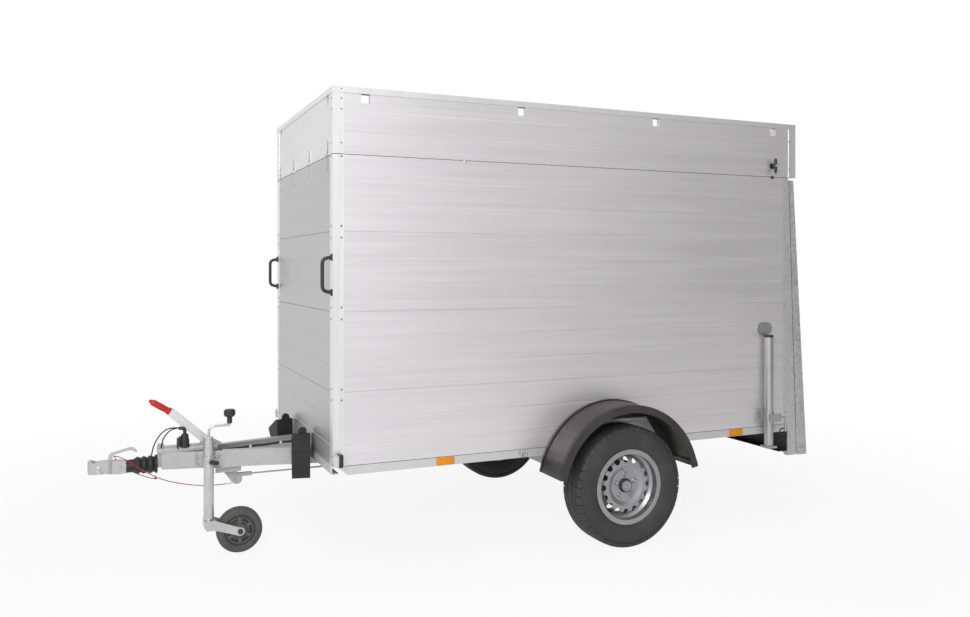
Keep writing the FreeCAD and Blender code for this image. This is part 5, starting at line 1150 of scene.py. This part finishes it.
# %% Lamps and the plate's frame
MARKER_SPOTS = (-0.530, -2.229)
MARKER_Z = 0.472
MARKER_BLOCKS = (  # two corners about the marker's middle, and the trim
    ((-0.044, 0.6553, -0.017), (0.044, 0.6606, 0.017), 0.0015),
    ((-0.039, 0.6590, -0.0125), (0.039, 0.6618, 0.0125), 0.0012),
)
LAMP_FOOT = ((0.8345, 0.6578, 0.495), (0.8530, 0.6978, 0.551), 0.004)
LAMP_LENS = ((0.8520, 0.6600, 0.4975), (0.8790, 0.6955, 0.5485), 0.007)
LAMP_Y = 0.6778
LENS_DOME = ((0, 0.010), (0.0035, 0.009), (0.0055, 0.0055))
DOME_X, DOME_Z = 0.8770, 0.530
LAMP_SCREW = ((0, 0.0032), (0.0025, 0.0028))
SCREW_X, SCREW_Z = 0.8775, 0.508
REAR_LAMP_Y = 0.400
REAR_LAMP_Z = 0.396
AMBER_PART = (0.420, 0.462)
CLEAR_PART = (0.312, 0.340)
PART_BACK, PART_FRONT = 0.0018, 0.004
PART_LOW, PART_HIGH = 0.360, 0.432
PART_TRIM = 0.0012
PLATE_BACK, PLATE_FRONT = 0.0025, 0.0020
PLATE_BARS = (  # lower and upper corner of each bar, as (side, height)
    ((-0.264, 0.340), (0.264, 0.347)), ((-0.264, 0.445), (0.264, 0.452)),
    ((-0.266, 0.340), (-0.259, 0.452)), ((0.259, 0.340), (0.266, 0.452)),
)
PLATE_TRIM = 0.001


def side_lamps():
    lenses, feet, clear = bmesh.new(), bmesh.new(), bmesh.new()
    for side in BOTH_SIDES:
        for ahead in MARKER_SPOTS:
            for low, high, trim in MARKER_BLOCKS:
                add_side_block(lenses, side, low, high, trim, (FRONT_X + ahead, 0, MARKER_Z))
        add_side_block(feet, side, *LAMP_FOOT)
        add_side_block(clear, side, *LAMP_LENS)
        add_turned(clear, (DOME_X, LAMP_Y * side, DOME_Z), (1, 0, 0), LENS_DOME, 20)
        add_turned(feet, (SCREW_X, LAMP_Y * side, SCREW_Z), (1, 0, 0), LAMP_SCREW, 12)
    fitted_form("side_reflectors", lenses, amber_lens, "chassis", "amber_lens", "side_markers")
    fitted_form("position_lamp_feet", feet, black_plastic, "chassis", "black_plastic",
                "side_markers")
    fitted_form("position_lamp_lenses", clear, clear_lens, "chassis", "amber_lens",
                "side_markers")


def rear_lamps():
    amber, clear, bars = bmesh.new(), bmesh.new(), bmesh.new()
    for side in BOTH_SIDES:
        face = from_behind("tail_lamps", REAR_LAMP_Y * side, REAR_LAMP_Z)[0].x
        for form, (first, last) in ((amber, AMBER_PART), (clear, CLEAR_PART)):
            add_side_block(form, side, (face - PART_BACK, first, PART_LOW),
                           (face + PART_FRONT, last, PART_HIGH), PART_TRIM)
    face = from_behind("number_plate", 0, REAR_LAMP_Z)[0].x
    for low, high in PLATE_BARS:
        add_block(bars, (face - PLATE_BACK, *low), (face + PLATE_FRONT, *high), PLATE_TRIM)
    fitted_form("indicator_lenses", amber, amber_lens, "chassis", "lamp_lens")
    fitted_form("reversing_lenses", clear, clear_lens, "chassis", "lamp_lens")
    fitted_form("plate_frame", bars, black_plastic, "chassis", "black_plastic")


side_lamps()
rear_lamps()
print("lamps made")

# %% [markdown]
# The grab handles on the front corners are bowed bars with slanted ends, each moulded in one
# with two feet. The bow is a tube along a mirrored line, and the feet are screwed down.

# %% Grab handles
HANDLE_FACE = 0.8733
HANDLE_Y = 0.644
HANDLE_Z = 1.341
HALF_BOW = ((0.0030, -0.0770), (0.0130, -0.0762), (0.0250, -0.0735), (0.0350, -0.0690),
            (0.0405, -0.0625), (0.0430, -0.0530), (0.0435, -0.0380), (0.0435, -0.0150))
BOW_RADIUS = 0.0082
FOOT_NEAR, FOOT_FAR = 0.0630, 0.0930
FOOT_HALF = 0.0105
FOOT_THICK = 0.0075
FOOT_TRIM = 0.0022
FOOT_SCREW = 0.0880


def grab_handle_pair():
    form = bmesh.new()
    screws = []
    for side in BOTH_SIDES:
        middle = Vector((HANDLE_FACE, HANDLE_Y * side, HANDLE_Z))
        bow = [*HALF_BOW, *[(out, -up) for out, up in HALF_BOW[::-1]]]
        add_tube(form, [middle + Vector((out, 0, up)) for out, up in bow], BOW_RADIUS, 16)
        for end in BOTH_SIDES:
            low, high = sorted((FOOT_NEAR * end, FOOT_FAR * end))
            add_block(form, middle + Vector((0, -FOOT_HALF, low)),
                      middle + Vector((FOOT_THICK, FOOT_HALF, high)), FOOT_TRIM)
            screws.append((middle + Vector((FOOT_THICK, 0, FOOT_SCREW * end)), X_WAY))
    fitted_form("grab_handle_bars", form, black_plastic, "chassis", "black_plastic",
                "grab_handles", sharp=45)
    fixed_on("handle_screws", pan_head, tube_zinc, "chassis", "zinc", screws, size=0.85)


grab_handle_pair()
print("grab handles made")

# %% [markdown]
# Small things on the drawbar that give it its working look: the lever of the jack's clamp,
# the lid of the plug's holder, the bolts of coupling and linkage, the indicator ring on the
# coupling's nose, and the wiring that runs along the far beam into the housing.

# %% Drawbar fittings
LEVER_X, LEVER_Z = FRONT_X + 0.446, 0.449
LEVER_ENDS = Vector((-0.012, 0, -0.002)), Vector((0.013, 0, 0.003))
LEVER_RADIUS = 0.0095
LEVER_THICK = 0.011
BUTTON_PLACE = Vector((-0.011, 0.010, -0.002))
BUTTON = ((0, 0.0070), (0.004, 0.0066), (0.006, 0.0050))
LID_Y, LID_Z = 0.026, 0.530
LID_GAP = 0.0015
LID = ((0, 0.006, 0.506), (0.0060, 0.046, 0.556))
RIB = ((0.005, 0.010, 0), (0.0080, 0.042, 0.004))
RIB_HEIGHTS = (0.514, 0.524, 0.534, 0.544)
LID_TRIM, RIB_TRIM = 0.002, 0.0008
BOLT_AWAY = 0.3
COUPLING_BOLT = (FRONT_X + 0.852, 0.434)
LINKAGE_BOLTS = ((0.380, 0.388), (0.330, 0.318), (0.352, 0.372))
NOSE_X, ABOVE_NOSE = FRONT_X + 0.975, 1.0
MARK_RADIUS, MARK_THICK, MARK_RISE = 0.0125, 0.0016, 0.0004


def clamp_lever():
    form = bmesh.new()
    spot, _ = from_side("jack_clamp", LEVER_X, LEVER_Z, 1, CLAMP_AWAY)
    start, end = LEVER_ENDS
    add_rounded_bar(form, spot + start, spot + end, LEVER_RADIUS, LEVER_THICK, Y_WAY)
    add_turned(form, spot + BUTTON_PLACE, Y_WAY, BUTTON, 16)
    fitted_form("clamp_lever", form, black_plastic, "chassis", "black_plastic")


def holder_lid():
    """The sprung lid of the plug's holder, with its finger ribs."""
    form = bmesh.new()
    face = from_ahead("trailer_plug", LID_Y, LID_Z)[0].x + LID_GAP
    boxes = [(*LID, 0, LID_TRIM)] + [(*RIB, height, RIB_TRIM) for height in RIB_HEIGHTS]
    for (back, left, low), (front, right, high), height, trim in boxes:
        add_block(form, (face + back, left, low + height), (face + front, right, high + height),
                  trim)
    fitted_form("holder_lid", form, black_plastic, "chassis", "black_plastic")


def coupling_bolts():
    x, height = COUPLING_BOLT
    spots = [from_side("coupling_head", x, height, side, BOLT_AWAY) for side in BOTH_SIDES]
    fixed_on("coupling_bolts", hex_bolt, cast_zinc, "chassis", "zinc", spots, size=0.9)


def coupling_mark():
    form = bmesh.new()
    nose, _ = on_surface("coupling_head", (NOSE_X, 0, ABOVE_NOSE), -Z_WAY)
    above = nose + Z_WAY * MARK_RISE
    add_tube(form, circle(above, X_WAY, Y_WAY, MARK_RADIUS, 28), MARK_THICK, 8)
    fitted_form("coupling_mark", form, red_grip, "chassis", "red_plastic")


def linkage_bolts():
    spots = [from_side("brake_linkage", FRONT_X + ahead, height, side, BOLT_AWAY)
             for ahead, height in LINKAGE_BOLTS for side in BOTH_SIDES]
    fixed_on("linkage_bolts", hex_bolt, prop_zinc, "chassis", "zinc", spots, size=0.95)


LOOM_COUNT = 12
LOOM_START, LOOM_STEP = -0.080, 0.040
LOOM_Y, LOOM_Z = -0.02, 0.458
LOOM_RADIUS, LOOM_GAP = 0.0048, 0.0062
WAVE_HEIGHT, WAVE_STEP = 0.0015, 1.9
HOLE_BACK, BELOW_FLOOR = 0.05, 0.2
OUT_OF_HOLE = Vector((0, 0, -0.001)), Vector((0.004, 0, -0.014))
BEND_BACK, BEND_Z = 0.026, 0.470
INWARD = Vector((0.030, 0.006, -0.003))
LOOM_END = Vector((FRONT_X + 0.405, -0.055, 0.452))
CLIPPED = (4, 8)
CLIP_HALF = Vector((0.006, 0.0062, 0.0075))
CLIP_TRIM = 0.002


def beam_loom():
    """The wiring, clipped along the far beam's web, from the floor into the housing."""
    line = []
    for step in range(LOOM_COUNT):
        start = (FRONT_X + (LOOM_START + LOOM_STEP * step), LOOM_Y, LOOM_Z)
        spot, out = on_surface("drawbar_right", start, (0, -1, 0))
        wave = Vector((0, 0, WAVE_HEIGHT * math.sin(step * WAVE_STEP)))
        line.append(spot + out * LOOM_GAP + wave)
    first, last = line[0], line[-1]
    hole, _ = on_surface("floor_panel", (first.x - HOLE_BACK, first.y, BELOW_FLOOR), Z_WAY)
    start = [hole + OUT_OF_HOLE[0], hole + OUT_OF_HOLE[1],
             Vector((first.x - BEND_BACK, first.y, BEND_Z))]
    wiring, clips = bmesh.new(), bmesh.new()
    add_tube(wiring, start + line + [last + INWARD, LOOM_END], LOOM_RADIUS, 12)
    for number in CLIPPED:
        add_block(clips, line[number] - CLIP_HALF, line[number] + CLIP_HALF, CLIP_TRIM)
    fitted_form("beam_wiring", wiring, black_plastic, "chassis", "black_plastic")
    fitted_form("wiring_clips", clips, white_plastic, "chassis", "black_plastic")


clamp_lever()
holder_lid()
coupling_bolts()
coupling_mark()
linkage_bolts()
beam_loom()
print("drawbar fitted out")

# %% [markdown]
# Last a black strip of painted shadow in the gap between side rail and boards, the guards'
# bolts and moulded beads, the caps on the prop stands, the rings that turn their clamps, the
# bright ends of the side locks, the blind plugs in the side walls and the dark slots of the
# hinges.

# %% Guards, props and locks
RAIL_X, RAIL_Z = 0.6, 0.46
# The black strip of painted shadow in the gap between the side rail and the boards.
SHADOW_STRIP_BACK, SHADOW_STRIP_FRONT = -1.690, 0.8215
SHADOW_STRIP_IN, SHADOW_STRIP_OUT = 0.0060, 0.0004
SHADOW_STRIP_SUNK, SHADOW_STRIP_RISE = 0.0006, 0.0016
SHADOW_STRIP_TRIM = 0.0002
GUARD_BOLT_X, GUARD_BOLT_Y = FRONT_X - 1.375, 0.855
ABOVE_GUARD = 1.2
GUARD_X = FRONT_X - 1.4145
GUARD_Z = 0.304
BEADS = ((0.8690, 0.0030), (0.8500, 0.0026), (0.8420, 0.0018), (0.6850, 0.0022))
BEAD_STEPS = 48
BEAD_START, BEAD_SWEEP = 13, 154
BEAD_SINK = 0.35
PAST_GUARD = 0.6
PROP_X = -1.5565
PROP_Y = 0.690
PROP_WALL_Z, PROP_TOP = 0.96, 0.998
PROP_CAP = ((-0.010, 0.0012), (-0.001, 0.0016), (0.002, -0.0005), (0.0028, -0.006))
RING_PLACE = (-1.6445, 0.700, 0.4640)
RING_RADIUS, RING_THICK = 0.0170, 0.0036
LOCK_X, LOCK_Z = -1.6105, 1.936
LOCK_END = ((-0.002, 0.0062), (0.0012, 0.0062), (0.0020, 0.0052))
PLUG_X, PLUG_Z = FRONT_X - 0.63, 1.872
SLOT_Z = 1.894
SLOT_ENDS = Vector((-0.0005, 0, -0.004)), Vector((-0.0005, 0, 0.004))
SLOT_RADIUS, SLOT_THICK = 0.0028, 0.0009


# Painted shadow: a thin black strip along the top of each side rail stands for the shadow in the
# gap to the boards.
def rave_seals():
    form = bmesh.new()
    top = max(corner.co.z for corner in nodes["side_raves"].data.vertices)
    for side in BOTH_SIDES:
        reach = from_side("side_raves", RAIL_X, RAIL_Z, side)[0].y * side
        add_side_block(form, side, (SHADOW_STRIP_BACK, reach - SHADOW_STRIP_IN, top - SHADOW_STRIP_SUNK),
                       (SHADOW_STRIP_FRONT, reach + SHADOW_STRIP_OUT, top + SHADOW_STRIP_RISE), SHADOW_STRIP_TRIM)
    fitted_form("rave_seals", form, boot_rubber, "chassis", "black_rubber")


def guard_bolts():
    spots = [on_surface("mudguards", (GUARD_BOLT_X, GUARD_BOLT_Y * side, ABOVE_GUARD), -Z_WAY)
             for side in BOTH_SIDES]
    fixed_on("guard_bolts", carriage_head, prop_zinc, "chassis", "zinc", spots, size=0.6)


def guard_beads():
    """Beads moulded along the arch: a ray towards its axle finds each of their points."""
    form = bmesh.new()
    for side in BOTH_SIDES:
        for across, radius in BEADS:
            middle = Vector((GUARD_X, across * side, GUARD_Z))
            line = []
            for step in range(BEAD_STEPS):
                angle = math.radians(BEAD_START + BEAD_SWEEP * step / (BEAD_STEPS - 1))
                away = Vector((math.cos(angle), 0, math.sin(angle)))
                spot, _ = on_surface("mudguards", middle + away * PAST_GUARD, -away)
                line.append(spot - away * radius * BEAD_SINK)
            add_tube(form, line, radius, 8)
    fitted_form("guard_beads", form, guard_plastic, "chassis", "black_plastic")


def prop_caps():
    for label, side in SIDES:
        wall, _ = from_side("prop_" + label, PROP_X, PROP_WALL_Z, side)
        reach = abs(wall.y) - PROP_Y
        profile = [(far, reach + more) for far, more in PROP_CAP]
        fitted_turned("prop_cap_" + label, (PROP_X, PROP_Y * side, PROP_TOP), Z_WAY, profile, 36,
                      black_plastic, label + "_prop", "black_plastic")


def clamp_rings():
    form = bmesh.new()
    x, y, z = RING_PLACE
    for side in BOTH_SIDES:
        middle = Vector((x, y * side, z))
        add_tube(form, circle(middle, X_WAY, Z_WAY, RING_RADIUS, 32), RING_THICK, 10)
    fitted_form("clamp_rings", form, black_plastic, "chassis", "black_plastic")


def lock_ends():
    form = bmesh.new()
    for spot, out in side_spots("upper_locks", [LOCK_X], [LOCK_Z]):
        add_turned(form, spot, out, LOCK_END, 20)
    fitted_form("lock_ends", form, tube_zinc, "upper_frame", "zinc")


def blind_plugs():
    spots = [from_side("side_boards_" + label, PLUG_X, PLUG_Z, side) for label, side in SIDES]
    fixed_on("blind_plugs", blind_plug, post_zinc, "chassis", "anodised", spots)


def hinge_slots():
    form = bmesh.new()
    start, end = SLOT_ENDS
    for y in HINGE_SPOTS:
        spot, _ = from_ahead("hinge_upper_leaves", y, SLOT_Z)
        add_rounded_bar(form, spot + start, spot + end, SLOT_RADIUS, SLOT_THICK, X_WAY)
    fitted_form("hinge_slots", form, black_plastic, "upper_frame", "zinc")


rave_seals()
guard_bolts()
guard_beads()
prop_caps()
clamp_rings()
lock_ends()
blind_plugs()
hinge_slots()
print("guards, props and locks done")
